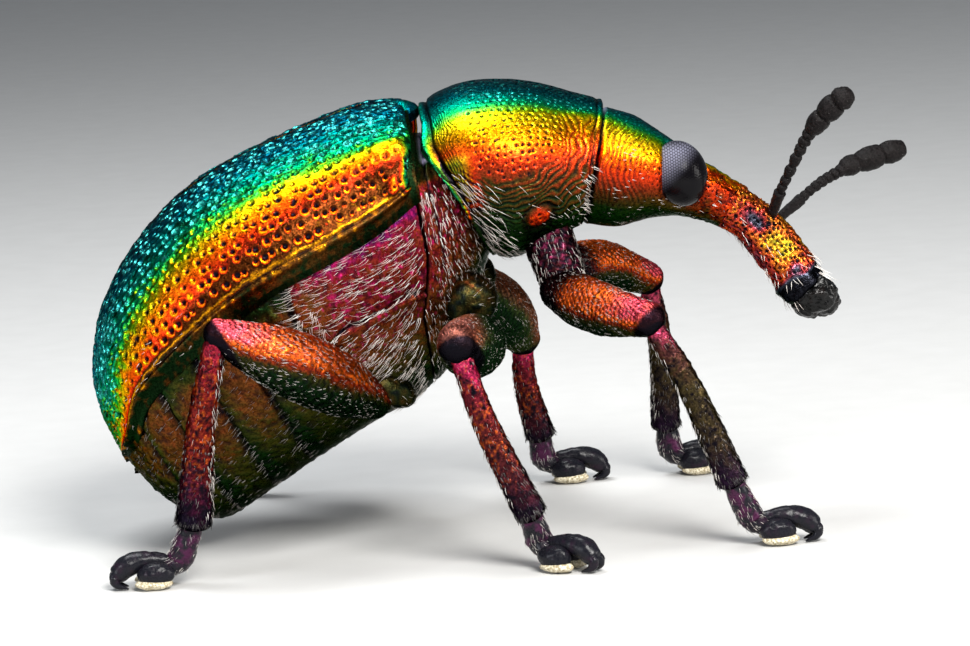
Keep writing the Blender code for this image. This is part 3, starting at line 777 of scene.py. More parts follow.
class Net:
    """The node tree of one material."""

    def __init__(self, name):
        self.material = bpy.data.materials.new(name)
        self.material.use_nodes = True
        self.tree = self.material.node_tree
        self.shader = self.tree.nodes["Principled BSDF"]

    def node(self, kind, settings=(), sockets=(), output=0):
        """A node with its settings made first, then its sockets filled."""
        made = self.tree.nodes.new(kind)
        for label, setting in dict(settings).items():
            if label == "stops":
                self.fill_ramp(made.color_ramp, setting)
            else:
                setattr(made, label, setting)
        for label, value in dict(sockets).items():
            self.feed(made.inputs[label], value)
        return Value(self, made.outputs[output])

    def fill_ramp(self, ramp, stops):
        """Puts the stops of a colour ramp."""
        while len(ramp.elements) > 1:
            ramp.elements.remove(ramp.elements[-1])
        ramp.elements[0].position = stops[0][0]
        ramp.elements[0].color = (*stops[0][1], 1.0)
        for place, colour in stops[1:]:
            ramp.elements.new(place).color = (*colour, 1.0)

    def feed(self, socket, value):
        """Links or sets one socket."""
        if isinstance(value, Value):
            self.tree.links.new(value.socket, socket)
        elif socket.type == "RGBA" and len(value) == 3:
            socket.default_value = (*value, 1.0)
        else:
            socket.default_value = value

    def maths(self, operation, first, second):
        """One step of maths on numbers."""
        return self.node("ShaderNodeMath", {"operation": operation}, {0: first, 1: second})

    def mark(self, name):
        """A number that the skin carries at every point."""
        return self.node("ShaderNodeAttribute", {"attribute_name": name}, output=2)

    def spot(self):
        """The place on the piece, in millimetres."""
        place = self.node("ShaderNodeTexCoord", output=3)
        scale = (1.0 / MM, 1.0 / MM, 1.0 / MM)
        return self.node("ShaderNodeMapping", {}, {"Vector": place, "Scale": scale})

    def noise(self, place, scale, detail):
        """Cloudy noise from 0 to 1."""
        return self.node(
            "ShaderNodeTexNoise", {},
            {"Vector": place, "Scale": scale, "Detail": detail, "Roughness": 0.55},
        )

    def cells(self, place, scale):
        """The distance to the nearest of scattered points."""
        return self.node("ShaderNodeTexVoronoi", {}, {"Vector": place, "Scale": scale})

    def wave(self, place, heading, pitch):
        """Even ripples, so many millimetres apart, from -1 to 1."""
        along = self.node(
            "ShaderNodeVectorMath", {"operation": "DOT_PRODUCT"}, {0: place, 1: heading}, output=1,
        )
        return self.maths("COSINE", along * (2 * math.pi / pitch), 0.0)

    def ease(self, value, low, high, start=0.0, end=1.0):
        """A soft rise from start to end while the value goes from low to high."""
        return self.node(
            "ShaderNodeMapRange", {"interpolation_type": "SMOOTHSTEP"},
            {"Value": value, "From Min": low, "From Max": high, "To Min": start, "To Max": end},
        )

    def ramp(self, value, stops):
        """A colour read off a ramp."""
        return self.node("ShaderNodeValToRGB", {"stops": stops}, {"Fac": value})

    def mix(self, share, first, second, blend="MIX"):
        """A mix of two colours."""
        return self.node(
            "ShaderNodeMix", {"data_type": "RGBA", "blend_type": blend},
            {0: share, 6: first, 7: second}, output=2,
        )

    def bump(self, height, depth):
        """A bumped normal. Depth is in millimetres."""
        sockets = {"Height": height, "Distance": depth * MM, "Strength": 1.0}
        return self.node("ShaderNodeBump", {}, sockets)

    def finish(self, **sockets):
        """Fills the shader's sockets and returns the material."""
        for label, value in sockets.items():
            self.feed(self.shader.inputs[label.replace("_", " ")], value)
        return self.material


def cuticle(name, hues, shine=0.30, bumps=0.004, pore=60.0, spark=GLINT_CYAN):
    """Metallic shell whose hue follows the bands of its piece."""
    net = Net(name)
    spot = net.spot()
    cloud = net.noise(spot, 3.5, 4.0)
    fleck = net.noise(spot, 28.0, 3.0)
    tone = net.mark("tone") + (cloud - 0.5) * 0.05 + (fleck - 0.5) * 0.05
    colour = net.ramp(tone, hues)
    # The glint mark mixes in the spark: painted highlights in the pits, and coloured specks on the
    # trunk and legs
    colour = net.mix(net.mark("glint"), colour, spark)
    shade = net.ease(net.noise(spot, 48.0, 2.0), 0.36, 0.60, 0.45, 1.0)
    colour = net.mix(1.0, colour, net.node(
        "ShaderNodeCombineColor", {}, {0: shade, 1: shade, 2: shade}), "MULTIPLY")
    # The dark mark mixes in black: painted shade in pits, in a hollow of the snout and on the neck,
    # and dark colour elsewhere
    colour = net.mix(net.mark("dark"), colour, SHADE_AND_BLACK)
    pale = net.mark("pale")
    colour = net.mix(pale, colour, MEMBRANE)
    rough = net.ease(fleck, 0.3, 0.7, shine - 0.06, shine + 0.10)
    pores = net.ease(net.cells(spot, pore), 0.0, 0.55)
    relief = pores * 0.5 + net.noise(spot, pore * 0.8, 3.0) * 0.6
    return net.finish(
        Base_Color=colour, Roughness=rough, Metallic=1.0 - pale,
        Normal=net.bump(relief, bumps), Specular_Tint=EDGE_SHEEN,
    )


def facets():
    """Black eye with rows of six-sided facets and a painted sheen, a reflection of the light, over
    its upper half.
    """
    net = Net("eye_facets")
    spot = net.spot()
    lens = 0.5 + (
        net.wave(spot, (1.0, 0.0, 0.0), FACET_PITCH)
        + net.wave(spot, (0.5, 0.0, 0.866), FACET_PITCH)
        + net.wave(spot, (0.5, 0.0, -0.866), FACET_PITCH)
    ) * 0.333
    painted_sheen = net.mark("tone")
    colour = net.mix(painted_sheen, EYE_BLACK, EYE_PAINTED_SHEEN)
    colour = net.mix(net.ease(lens, 0.05, 0.55, 0.85, 0.0), colour, FACET_EDGE)
    return net.finish(
        Base_Color=colour, Roughness=net.ease(painted_sheen, 0.0, 0.5, 0.20, 0.55),
        Normal=net.bump(lens, 0.0006), Specular_IOR_Level=0.09,
    )


def horn(name, colour, gleam, shine=0.24, gloss=0.14):
    """Black horn with a coloured gleam."""
    net = Net(name)
    spot = net.spot()
    cloud = net.noise(spot, 9.0, 3.0)
    fine = net.noise(spot, 40.0, 3.0)
    share = net.ease(cloud, 0.40, 0.62) * (1.0 - net.mark("tone"))
    tint = net.mix(share, colour, gleam)
    return net.finish(
        Base_Color=tint, Roughness=net.ease(fine, 0.3, 0.7, shine - 0.05, shine + 0.15),
        Metallic=share, Normal=net.bump(fine, 0.004), Specular_IOR_Level=gloss,
        Coat_Weight=0.04, Coat_Roughness=0.10,
    )


def velvet():
    """Black-brown downy horn of the feelers."""
    net = Net("feeler_velvet")
    spot = net.spot()
    down = net.noise(spot, 50.0, 3.0)
    colour = net.mix(net.ease(down, 0.35, 0.7), FEELER_BLACK, FEELER_BROWN)
    return net.finish(
        Base_Color=colour, Roughness=net.ease(down, 0.3, 0.7, 0.42, 0.62),
        Normal=net.bump(down, 0.008), Specular_IOR_Level=0.09,
    )


def bristle():
    """Hair, paler and deeper from tuft to tuft, and black where its tone is 1."""
    net = Net("pale_hair")
    spot = net.spot()
    change = net.noise(spot, 7.0, 2.0)
    colour = net.mix(net.ease(change, 0.38, 0.62), HAIR_DEEP, HAIR_PALE)
    colour = net.mix(net.mark("tone"), colour, BRISTLE_BLACK)
    return net.finish(
        Base_Color=colour, Roughness=net.ease(change, 0.3, 0.7, 0.32, 0.44),
    )


def pad_skin():
    """Cream soles of the feet, felted with fine hair."""
    net = Net("pad_felt")
    spot = net.spot()
    felt = net.noise(spot, 45.0, 3.0)
    colour = net.mix(net.ease(felt, 0.35, 0.68), SOLE_DEEP, SOLE_PALE)
    return net.finish(
        Base_Color=colour, Roughness=net.ease(felt, 0.3, 0.7, 0.55, 0.8),
        Normal=net.bump(felt, 0.016),
    )


def evenly(values, line, count):
    """So many of the values, evenly apart along a line of points."""
    run = run_along(line)
    return np.interp(np.linspace(0.0, run[-1], count), run, values)


def even(surface, start, end, count, turn):
    """Places along a skin, evenly apart at one turn."""
    fine = np.linspace(start, end, TRIAL_STEPS)
    return evenly(fine, on_skin(surface, fine, np.full_like(fine, turn)), count)


def even_turns(surface, start, end, count, s):
    """Turns evenly apart round a skin at one place."""
    fine = np.linspace(start, end, TRIAL_STEPS)
    return evenly(fine, on_skin(surface, np.full_like(fine, s), fine), count)


def flat_rows(places):
    """Stations without domes at the given places."""
    return np.stack((places, np.ones_like(places), np.zeros_like(places)), axis=1)


# Turns past the margin stand for the inner face of a wing case, and the last one closes it
INNER_START = 100.0
CLOSING = 400.0

# How far the front edge reaches ahead of its first section, over turn, and how deep it is rounded
SHOULDER_LEAD = ((0, 0.05), (30, 0.10), (48, 0.22), (60, 0.20), (78, 0.0), (95, 0.0))
FRONT_ROUND = 0.20


def wing_case_surface(s, turn, shrink, push):
    """The left wing case, its outer face, its margin and its inner face."""
    inner = (turn > MARGIN + 4) & (turn < CLOSING - 50)
    angle = np.where(inner, MARGIN - (turn - INNER_START), turn)
    angle = np.where(turn > CLOSING - 50, turn - CLOSING, angle)
    depth = np.where(inner, SHELL, 0.0)
    lead = along_line(SHOULDER_LEAD, angle) * soft_step(1.9, 1.0, s)
    place = s - lead
    point = oval(HIND_BODY, WING_CASE_POWER, place, np.abs(angle), shrink, push, depth, 0.0, depth)
    point[:, 1] = np.maximum(point[:, 1], SLIT)
    return point


def reach_of_front(turn):
    """How far back the rounding of a wing case's front edge reaches."""
    return 0.30 + 0.22 * soft_step(35, 55, turn)


def wing_case_form(s, turn, callus):
    """The large relief of a wing case: shoulder, dent, rounded front edge, rim and margin."""
    back = reach_of_front(turn)
    near = np.clip((1.0 + back - s) / back, 0.0, 1.0)
    height = 0.05 * spot_near(s, turn, SHOULDER, (0.55, 16)) + 0.035 * callus
    height -= 0.05 * spot_near(s, turn, DENT, (1.0, 8))
    height -= FRONT_ROUND * (1 - np.sqrt(1 - 0.98 * near ** 2))
    height += 0.020 * line_near(turn - RIM_CREST, 1.1)
    height -= 0.022 * line_near(turn - RIM_SEAM, 0.45)
    return height - 0.085 * soft_step(88.2, MARGIN, turn)


def front_edge(s, turn, point):
    """How green the front edge of a wing case is, and the broken golden brow behind it."""
    front = soft_step(1.46, 1.24, s + 0.10 * wobble(point, 0.07, 14))
    front *= soft_step(46, 56, turn) * soft_step(89, 86, turn)
    brow = line_near(s - 1.58, 0.10) * soft_step(70, 76, turn) * soft_step(86, 82, turn)
    return front, brow * soft_step(0.35, 0.65, grain(point, 0.09, 20))


def wing_case_tone(s, turn, point, tone, lip):
    """The bands of a wing case, with a painted gold highlight on the lips of the pits, and blotched.
    """
    # A painted highlight: the lips of the pits in the warm bands turn gold
    golden = soft_step(0.25, 0.34, tone) * soft_step(0.90, 0.86, tone)
    tone = toward(tone, GOLD_HIGHLIGHT, 0.85 * lip * golden)
    blotch = wobble(point, 0.09, 15)
    tone = tone + 0.16 * blotch * soft_step(5.4, 7.2, s) * soft_step(0.27, 0.36, tone)
    tone = tone + 0.06 * blotch * soft_step(82.5, 84.0, turn) * soft_step(86.0, 85.0, turn)
    return tone + 0.08 * wobble(point, 0.05, 16) * soft_step(0.34, 0.44, tone)


def wing_case_relief(s, turn, point):
    """Pits, shoulder, margin and wrinkles of a wing case, and its coloured bands."""
    tone = banded(WING_CASE_BANDS, s, turn)
    warm = soft_step(0.33, 0.44, tone)
    cool = 1 - warm
    callus = spot_near(s, turn, CALLUS, (0.75, 6.5))
    tail = soft_step(7.4, 9.3, s) * soft_step(25, 45, turn)
    streak = grain(np.stack((s * 0.27, turn * 0.032, 0 * s), axis=1), 0.042, 17)
    front, brow = front_edge(s, turn, point)

    size = 1 - 0.32 * soft_step(3.4, 2.4, s) * soft_step(62, 68, turn)
    reach = pit_reach(point, WING_CASE_PITS, WING_CASE_PIT, 5) / size
    fade = (1 - 0.75 * callus) * soft_step(1.0, 1.3, s) * soft_step(85.5, RIM_START, turn)
    fade *= np.where(s > 9.0, 0.6, 1.0)
    lip = fade * lip_of_pits(point, reach, WING_CASE_PITS, WING_CASE_PIT, 5, size)

    height = fade * (0.006 * line_near(reach - 1.05, 0.25) - 0.027 * bowl(reach))
    height += wing_case_form(s, turn, callus)
    crinkle = wobble(point * np.array([1.0, 1.0, 0.6]), 0.035, 4)
    rough = 0.016 * wobble(point, 0.075, 3) + 0.007 * crinkle
    height += rough * (1 - 0.75 * warm) * (1 - 0.6 * callus) + 0.006 * wobble(point, 0.12, 9)
    height += 0.018 * brow - 0.012 * soft_step(0.45, 0.75, streak) * cool

    tone = toward(tone, OLIVE, 0.8 * tail * cool) + 0.12 * (streak - 0.5) * cool
    tone = wing_case_tone(s, turn, point, tone, lip)
    tone = toward(toward(tone, GREEN, front), YELLOW, 0.8 * brow)

    # Painted shade in the pits
    dark = fade * (0.60 + 0.40 * warm) * soft_step(0.78, 0.50, reach)
    dark += 0.75 * cool * soft_step(0.9, 1.4, reach) * soft_step(0.48, 0.75, streak)
    dark += 0.5 * soft_step(3.0, 0.6, turn) + front * (0.45 + 0.5 * soft_step(0.40, 0.60, streak))
    dark += 0.92 * line_near(turn - RIM_SEAM, 0.42) + 0.62 * tail * cool
    # Painted cyan highlight on the lips of the pits in the cool bands
    glint = 0.80 * lip * (1 - soft_step(0.24, 0.34, tone))
    outer = turn <= MARGIN
    marks = {"tone": tone, "dark": np.clip(dark, 0, 1), "glint": glint}
    return np.where(outer, height, 0.0), marks


def build_wing_cases(material):
    """Both wing cases."""
    along, around = GRIDS["wing_case"]
    turns = np.concatenate((
        even_turns(wing_case_surface, 0.0, RIM_START, around, 4.5)[:-1],
        np.linspace(RIM_START, MARGIN, MARGIN_STEPS),
        INNER_START + np.linspace(0.0, MARGIN, INNER_STEPS),
        [CLOSING],
    ))
    rows = flat_rows(even(wing_case_surface, *WING_CASE_SPAN, along, 62.0))
    left = skin("elytron_left_shell", rows, turns, wing_case_surface, wing_case_relief)
    dressed(left, material)
    right = mirrored(left, "elytron_right_shell")
    settled(left, "wing_case", "elytron_left")
    settled(right, "wing_case", "elytron_right")


# How far the hind and the front edge of the pronotum reach past its sections, over turn
HIND_REACH = ((0, 0.25), (35, 0.35), (60, 0.75), (85, 0.70), (110, 0.25), (180, 0.0))
FRONT_REACH = 0.03


def pronotum_surface(s, turn, shrink, push):
    """The pronotum."""
    back = along_line(HIND_REACH, np.abs(turn)) * soft_step(1.3, 0.0, s)
    place = s - back + FRONT_REACH * soft_step(5.4, 6.0, s)
    return oval(PRONOTUM, BODY_POWER, place, turn, shrink, push)


# The punctured disc of the pronotum, as x, z and half sizes, and the red boss by the front coxa
PRONOTUM_DISC = (0.25, 4.08, 0.52, 0.42)
TROCHANTIN = (0.60, 1.02, 3.21)

# Furrows across the pronotum, as s: along its hind rim and behind its front edge
HIND_FURROW = 0.36
FRONT_FURROW = 5.80


def pronotum_edges(s, boss, hem, pleats):
    """The relief of the rims, of the pleats before the hind one, and of the boss."""
    height = 0.012 * line_near(s - 0.12, 0.10) - 0.022 * line_near(s - HIND_FURROW, 0.08)
    height -= 0.05 * soft_step(0.06, -0.05, s) + 0.012 * line_near(s - FRONT_FURROW, 0.07)
    height -= 0.05 * soft_step(5.92, 6.06, s)
    height -= 0.010 * hem * pleats
    return height + 0.020 * soft_step(0.15, 0.06, boss) - 0.014 * line_near(boss - 0.16, 0.03)


def pronotum_relief(s, turn, point):
    """Punctures over the disc, wrinkles round it, and the rims."""
    angle = np.abs(turn)
    x, z, half_x, half_z = PRONOTUM_DISC
    away = np.hypot((point[:, 0] - x) / half_x, (point[:, 2] - z) / half_z)
    boss = np.linalg.norm(np.abs(point) - np.array(TROCHANTIN), axis=1)
    tone = banded(PRONOTUM_BANDS, s, turn)
    warm = soft_step(0.30, 0.42, tone)
    below = soft_step(70, 96, angle)
    ahead = soft_step(0.42, 0.75, point[:, 0] - x)
    creased = soft_step(0.85, 1.25, away) * soft_step(0.24, 0.42, tone) * soft_step(0.13, 0.20, boss)
    creased *= np.maximum(np.maximum(below, ahead), 0.30)
    drift = wobble(point, 0.20, 11) + 0.35 * wobble(point, 0.09, 19)
    wave = ripple((away - 1) * 7.6 + drift * 2.8)
    line = soft_step(0.55, 1.0, wave) * soft_step(0.22, 0.55, grain(point, 0.10, 18))
    pleats = ripple(s * 9 + drift * 4)
    hem = soft_step(0.45, 0.60, s) * soft_step(1.35, 0.8, s) * soft_step(25, 40, angle)
    reach = pit_reach(np.abs(point), PRONOTUM_PITS, PRONOTUM_PIT, 6)
    open_disc = 1 - 0.85 * creased
    lip = open_disc * lip_of_pits(np.abs(point), reach, PRONOTUM_PITS, PRONOTUM_PIT, 6)

    height = -0.014 * bowl(reach) * open_disc - 0.010 * creased * wave ** 1.5
    height += 0.004 * wobble(point, 0.10, 12) + 0.003 * wobble(point, 0.04, 13)
    height += pronotum_edges(s, boss, hem, pleats)

    corner = soft_step(1.7, 0.7, s) * soft_step(70, 82, angle) * soft_step(118, 100, angle)
    rim = line_near(s - 0.08, 0.16) * soft_step(126, 108, angle)
    tone = toward(tone, 0.71, soft_step(0.17, 0.08, boss))
    tone = toward(tone, 0.325, 0.85 * corner)
    # Shifted in the wrinkles, and yellower on the lips of the pits in the warm bands, a painted
    # highlight
    tone = tone + (0.08 + 0.10 * below) * wave * creased - 0.09 * lip * warm
    tone = toward(tone, 0.25, 0.92 * rim)

    # Painted shade in the pits
    dark = (0.50 + 0.45 * warm) * open_disc * soft_step(0.90, 0.55, reach)
    dark += creased * (0.50 + 0.20 * below) * line
    dark += 0.8 * line_near(s - FRONT_FURROW, 0.045) + 0.5 * line_near(boss - 0.165, 0.03)
    dark += 0.9 * line_near(s - HIND_FURROW, 0.09) + 0.55 * hem * soft_step(0.5, 0.9, pleats)
    dark += 0.62 * corner
    # Painted cyan highlight on the lips of the pits in the cool bands
    glint = 0.8 * lip * (1 - soft_step(0.22, 0.34, tone))
    return height, {"tone": tone, "dark": np.clip(dark, 0, 1), "glint": glint}


def build_pronotum(material):
    """The pronotum, its edges turned in."""
    along, around = GRIDS["pronotum"]
    places = flat_rows(even(pronotum_surface, 0.0, PRONOTUM_END, along, 90.0))
    hind_fold = ((0.0, 0.80, 0.02), (0.0, 0.96, 0.0))
    front_fold = ((PRONOTUM_END, 0.9, -0.01),)
    rows = np.concatenate((hind_fold, places, front_fold))
    turns = full_turn(around, PRONOTUM_DENSE)
    covered("pronotum", "shell", "pronotum", material, rows, turns, pronotum_surface, pronotum_relief)


def head_surface(s, turn, shrink, push):
    """The head and the snout, rolled about the neck."""
    return rolled_points(straight_head(s, turn, shrink, push))


def straight_head(s, turn, shrink, push):
    """The head and the snout before they are rolled."""
    power = np.where(s < HEAD_END, BODY_POWER, 2.2)
    return oval(HEAD, power, s, turn, shrink, push)


def head_relief(s, turn, point):
    """Wrinkles that ring the eye, punctures, and the eye's socket."""
    angle = np.abs(turn)
    plain = on_skin(straight_head, s, turn)
    side = np.abs(plain)
    away = np.hypot(side[:, 0] - EYE_MIDDLE[0], side[:, 2] - EYE_MIDDLE[2])
    socket = np.linalg.norm((side - np.array(EYE_MIDDLE)) / np.array(EYE_SIZE), axis=1)
    tone = banded(HEAD_BANDS, s, turn)
    warm = soft_step(0.30, 0.42, tone)
    wave = ripple(away / WRINKLE_PITCH + wobble(plain, 0.16, 21) * 2.0)
    creased = soft_step(0.34, 0.50, away) * soft_step(0.26, 0.42, tone)
    creased *= soft_step(2.9, 2.3, s) * soft_step(142, 118, angle)
    open_skin = 1 - 0.6 * creased
    coarse = soft_step(2.9, 3.7, s)
    reach = pit_reach(side, HEAD_PITS, HEAD_PIT, 7)

    height = -0.011 * bowl(reach) * open_skin - 0.008 * creased * wave ** 1.4
    height += (0.006 + 0.022 * coarse) * wobble(plain, 0.055, 22)
    height += 0.004 * wobble(plain, 0.10, 23)
    height -= 0.035 * soft_step(1.32, 1.06, socket) + 0.04 * soft_step(-0.10, -0.35, s)

    tone = tone + 0.05 * (wave - 0.5) * creased + 0.22 * coarse * wobble(plain, 0.07, 24)
    pale = 0.7 * soft_step(-0.12, -0.20, s) * soft_step(40, 15, angle)
    # Painted shade in the pits
    dark = 0.85 * warm * open_skin * soft_step(0.85, 0.40, reach)
    dark += creased * 0.5 * soft_step(0.55, 1.0, wave) + 0.85 * line_near(socket - 1.05, 0.06)
    dark += 0.7 * coarse * soft_step(0.60, 0.75, grain(plain, 0.045, 25))
    # Painted shade, black, on the neck inside the pronotum
    dark += soft_step(-0.14, -0.24, s)
    dark = np.clip(dark * (1 - pale), 0, 1)
    # Painted cyan highlight in the pits of the cool bands
    glint = 0.8 * (1 - soft_step(0.22, 0.34, tone)) * soft_step(0.95, 0.35, reach)
    return height, {"tone": tone, "dark": dark, "glint": glint, "pale": pale}


# On the snout, each as s and turn: the pit of the feeler, the hollow ahead of it, where shade is
# painted, and the painted purple sheen before the mouth
SCROBE = (5.25, 88.0)
HOLLOW = (5.62, 72)
MOUTH_SHEEN = (7.45, 88)


def rostrum_relief(s, turn, point):
    """Coarse pits and ridges of the snout, the pit of the feeler, and the black mouth."""
    angle = np.abs(turn)
    plain = on_skin(straight_head, s, turn)
    reach = pit_reach(np.abs(plain), ROSTRUM_PITS, ROSTRUM_PIT, 8)
    scrobe = spot_near(s, angle, SCROBE, (0.42, 20))
    mouth = soft_step(7.62, 7.92, s + 0.30 * soft_step(70, 120, angle))
    bare = 1 - mouth
    behind = soft_step(5.6, 5.2, s) * soft_step(125, 105, angle)
    ridge = soft_step(0.11, 0.03, np.abs(wobble(plain, 0.060, 38)))
    gutter = line_near(angle - 100, 12) * soft_step(5.0, 5.6, s) * soft_step(7.4, 6.6, s)

    height = -0.016 * bowl(reach) * bare - 0.055 * scrobe - 0.012 * gutter
    height += 0.022 * wobble(plain, 0.06, 31) + 0.016 * wobble(plain, 0.12, 32)
    height += 0.012 * ridge * (0.35 + 0.65 * behind) * bare
    height += mouth * 0.085 * wobble(plain, 0.14, 33) - 0.10 * soft_step(8.2, 8.62, s)

    gold = line_near(angle - 82, 30) * soft_step(5.2, 5.9, s) * soft_step(7.7, 7.1, s)
    tone = 0.50 - 0.30 * gold + 0.16 * soft_step(105, 140, angle) - 0.14 * soft_step(32, 8, angle)
    tone += 0.30 * wobble(plain, 0.09, 34) + 0.22 * wobble(plain, 0.035, 35)
    tone = tone + (0.62 - tone) * 0.6 * behind + (0.24 - tone) * 0.75 * ridge * behind
    # A painted blue-grey sheen over the feeler's pit and before the mouth
    sheen = spot_near(s, angle, MOUTH_SHEEN, (0.28, 22))
    tone = toward(tone, 0.88, np.clip(scrobe * 1.3 + sheen, 0, 1))
    tone = toward(tone, 1.0, mouth)

    # Painted shade in the pits, and in the hollow ahead of the feeler
    dark = 0.9 * soft_step(0.95, 0.45, reach) * bare
    dark += 0.9 * spot_near(s, angle, HOLLOW, (0.22, 16))
    cracked = 0.35 + 0.40 * soft_step(5.4, 4.9, s)
    dark += cracked * soft_step(0.50, 0.75, grain(plain, 0.04, 36)) * bare * (1 - ridge)
    return height, {"tone": tone, "dark": np.clip(dark, 0, 1)}


def ball(middle, half_sizes, lean, roll=False):
    """The surface of an egg shape; s runs from pole to pole, from 0 to 1."""
    turned = np.array(Matrix.Rotation(lean, 3, "Y"))

    def surface(s, turn, shrink, push):
        polar = math.pi * s
        angle = np.radians(turn)
        local = np.stack(
            (np.sin(polar) * np.sin(angle), -np.cos(polar), np.sin(polar) * np.cos(angle)),
            axis=1,
        )
        points = local * np.array(half_sizes) * shrink[:, None] @ turned.T + np.array(middle)
        return rolled_points(points) if roll else points

    return surface


def eye_relief(middle):
    """The painted sheen, a reflection of the light, over the upper half of an eye."""
    def relief(s, turn, point):
        rise = (point[:, 2] - middle[2]) / EYE_SIZE[2]
        lean = (point[:, 0] - middle[0]) / EYE_SIZE[0]
        painted_sheen = soft_step(-0.10, 1.05, rise - 0.80 * lean) * soft_step(1.15, 0.75, rise)
        return np.zeros_like(s), {"tone": painted_sheen}

    return relief


def lumps(size, depth, seed, tone=1.0):
    """Plain lumpy relief of one hue."""
    def relief(s, turn, point):
        height = depth * wobble(point, size, seed)
        height += 0.3 * depth * wobble(point, size / 3, seed + 1)
        shade = np.clip(tone + 0.2 * wobble(point, size, seed + 2), 0.0, 1.0)
        return height, {"tone": shade}

    return relief


# Lobes of the left half of the mouth: middle, half sizes, lean in degrees
MOUTH_LOBES = (
    ((3.29, 0.15, 2.19), (0.21, 0.15, 0.20), 40),
    ((3.40, 0.09, 2.10), (0.14, 0.11, 0.14), 30),
    ((3.21, 0.10, 2.06), (0.13, 0.10, 0.10), 20),
    ((3.40, 0.17, 2.23), (0.09, 0.08, 0.11), 55),
)


def build_head(metal, snout, eye_black, horn_black):
    """Head, snout, eyes and mandibles."""
    along, around = GRIDS["head"]
    neck = np.linspace(-0.60, 0.0, NECK_ROWS)[:-1]
    rows = flat_rows(np.concatenate((neck, even(head_surface, 0.0, HEAD_END, along, 90.0))))
    covered("head", "shell", "head", metal, rows, full_turn(around), head_surface, head_relief)
    along, around = GRIDS["rostrum"]
    rows = flat_rows(even(head_surface, HEAD_END - 0.06, ROSTRUM_END, along, 90.0))
    covered("rostrum", "shell", "rostrum", snout, rows, full_turn(around), head_surface,
            rostrum_relief)
    for label, side in SIDES:
        build_eye(label, side, eye_black)
        build_mouth(label, side, horn_black)


def build_eye(label, side, material):
    """One eye."""
    x, y, z = EYE_MIDDLE
    middle = (x, side * y, z)
    surface = ball(middle, [EYE_BULGE * half for half in EYE_SIZE], EYE_LEAN, roll=True)
    along, around = GRIDS["eye"]
    rows = stations(0.01, 0.99, along)
    relief = eye_relief(rolled_points(np.array([middle]))[0])
    covered(f"eye_{label}", "lens", "eye", material, rows, full_turn(around), surface, relief)


def build_mouth(label, side, material):
    """One half of the mouth, all its lobes in one piece."""
    along, around = GRIDS["mouth"]
    lobes = []
    for (x, y, z), sizes, lean in MOUTH_LOBES:
        surface = ball((x, side * y, z), sizes, math.radians(lean), roll=True)
        relief = lumps(0.075, 0.060, 51 + side)
        lobe = skin("lobe", stations(0.02, 0.98, along), full_turn(around), surface, relief)
        lobes.append(dressed(lobe, material))
    mandible = merged(f"mandible_{label}_horn", lobes)
    settled(mandible, "mandible", f"mandible_{label}")


def trunk_surface(s, turn, shrink, push):
    """The trunk below the wing cases."""
    return oval(HIND_BODY, BODY_POWER, s, turn, shrink, push, OVERHANG, LEDGE, SUNK)


def between(start, end):
    """The trunk between two seams, each a line of s over turn."""
    def place(share, turn):
        angle = np.abs(turn)
        return toward(along_line(start, angle), along_line(end, angle), share)

    def surface(share, turn, shrink, push):
        return trunk_surface(place(share, turn), turn, shrink, push)

    return surface, place


def plate_relief(place, seams, tone_of, seed, pale_of):
    """Relief of a hairy plate: seams, fine wrinkles and its hues."""
    def relief(share, turn, point):
        s = place(share, turn)
        angle = np.abs(turn)
        depth, shade = seams(s, angle)
        height = -0.045 * depth
        height -= 0.05 * (line_near(share, 0.015) + line_near(share - 1.0, 0.015))
        wave = wobble(point * np.array([1.0, 1.0, 2.4]), 0.06, seed)
        fine = grain(point, 0.038, seed + 1)
        height += 0.018 * wave + 0.016 * (fine - 0.5)
        tone = tone_of(s, angle) + 0.34 * wave + 0.14 * (fine - 0.5)
        dark = shade + 0.8 * (line_near(share, 0.02) + line_near(share - 1.0, 0.02))
        dark = np.clip(dark + 0.62 * soft_step(0.48, 0.22, fine), 0, 1)
        glint = 0.85 * soft_step(0.66, 0.80, grain(point, 0.034, seed + 2))
        glint *= soft_step(0.62, 0.40, tone) * (1 - dark)
        pale = pale_of(s, angle) if pale_of else np.zeros_like(s)
        return height, {"tone": tone, "dark": dark * (1 - pale), "glint": glint, "pale": pale}

    return relief


def mesothorax_seams(s, angle):
    """The seam down the side of the mesothorax."""
    off = (s - along_line(SIDE_SEAM, angle)) * 0.42
    line = line_near(off, 0.022) * soft_step(122, 112, angle)
    return line, 0.97 * line_near(off, 0.028) * soft_step(122, 112, angle)


def metathorax_seams(s, angle):
    """The seam between the side and the breast of the metathorax, and the ridge below it."""
    off = (angle - along_line(STERNUM_SEAM, s)) * 0.03
    return line_near(off, 0.018) - 0.5 * line_near(off - 0.035, 0.020), 0.95 * line_near(off, 0.020)


def abdomen_seams(s, angle):
    """The seams between the plates of the belly, shallow underneath."""
    depth = np.zeros_like(s)
    for seam in VENTRITE_SEAMS:
        depth = np.maximum(depth, line_near(s - seam, 0.055))
    return depth * (1 - 0.85 * soft_step(128, 158, angle)), 0.62 * depth


def mesothorax_hue(s, angle):
    """Hues of the mesothorax, with painted shade where the pronotum meets the wing cases."""
    tone = 0.34 + 0.25 * soft_step(108, 132, angle) + 0.45 * soft_step(132, 160, angle)
    return tone + 0.60 * soft_step(82, 72, angle)


def mesothorax_pale(s, angle):
    """How pale the collar under the wing cases is."""
    return soft_step(56, 48, angle) * soft_step(0.9, 0.5, s)


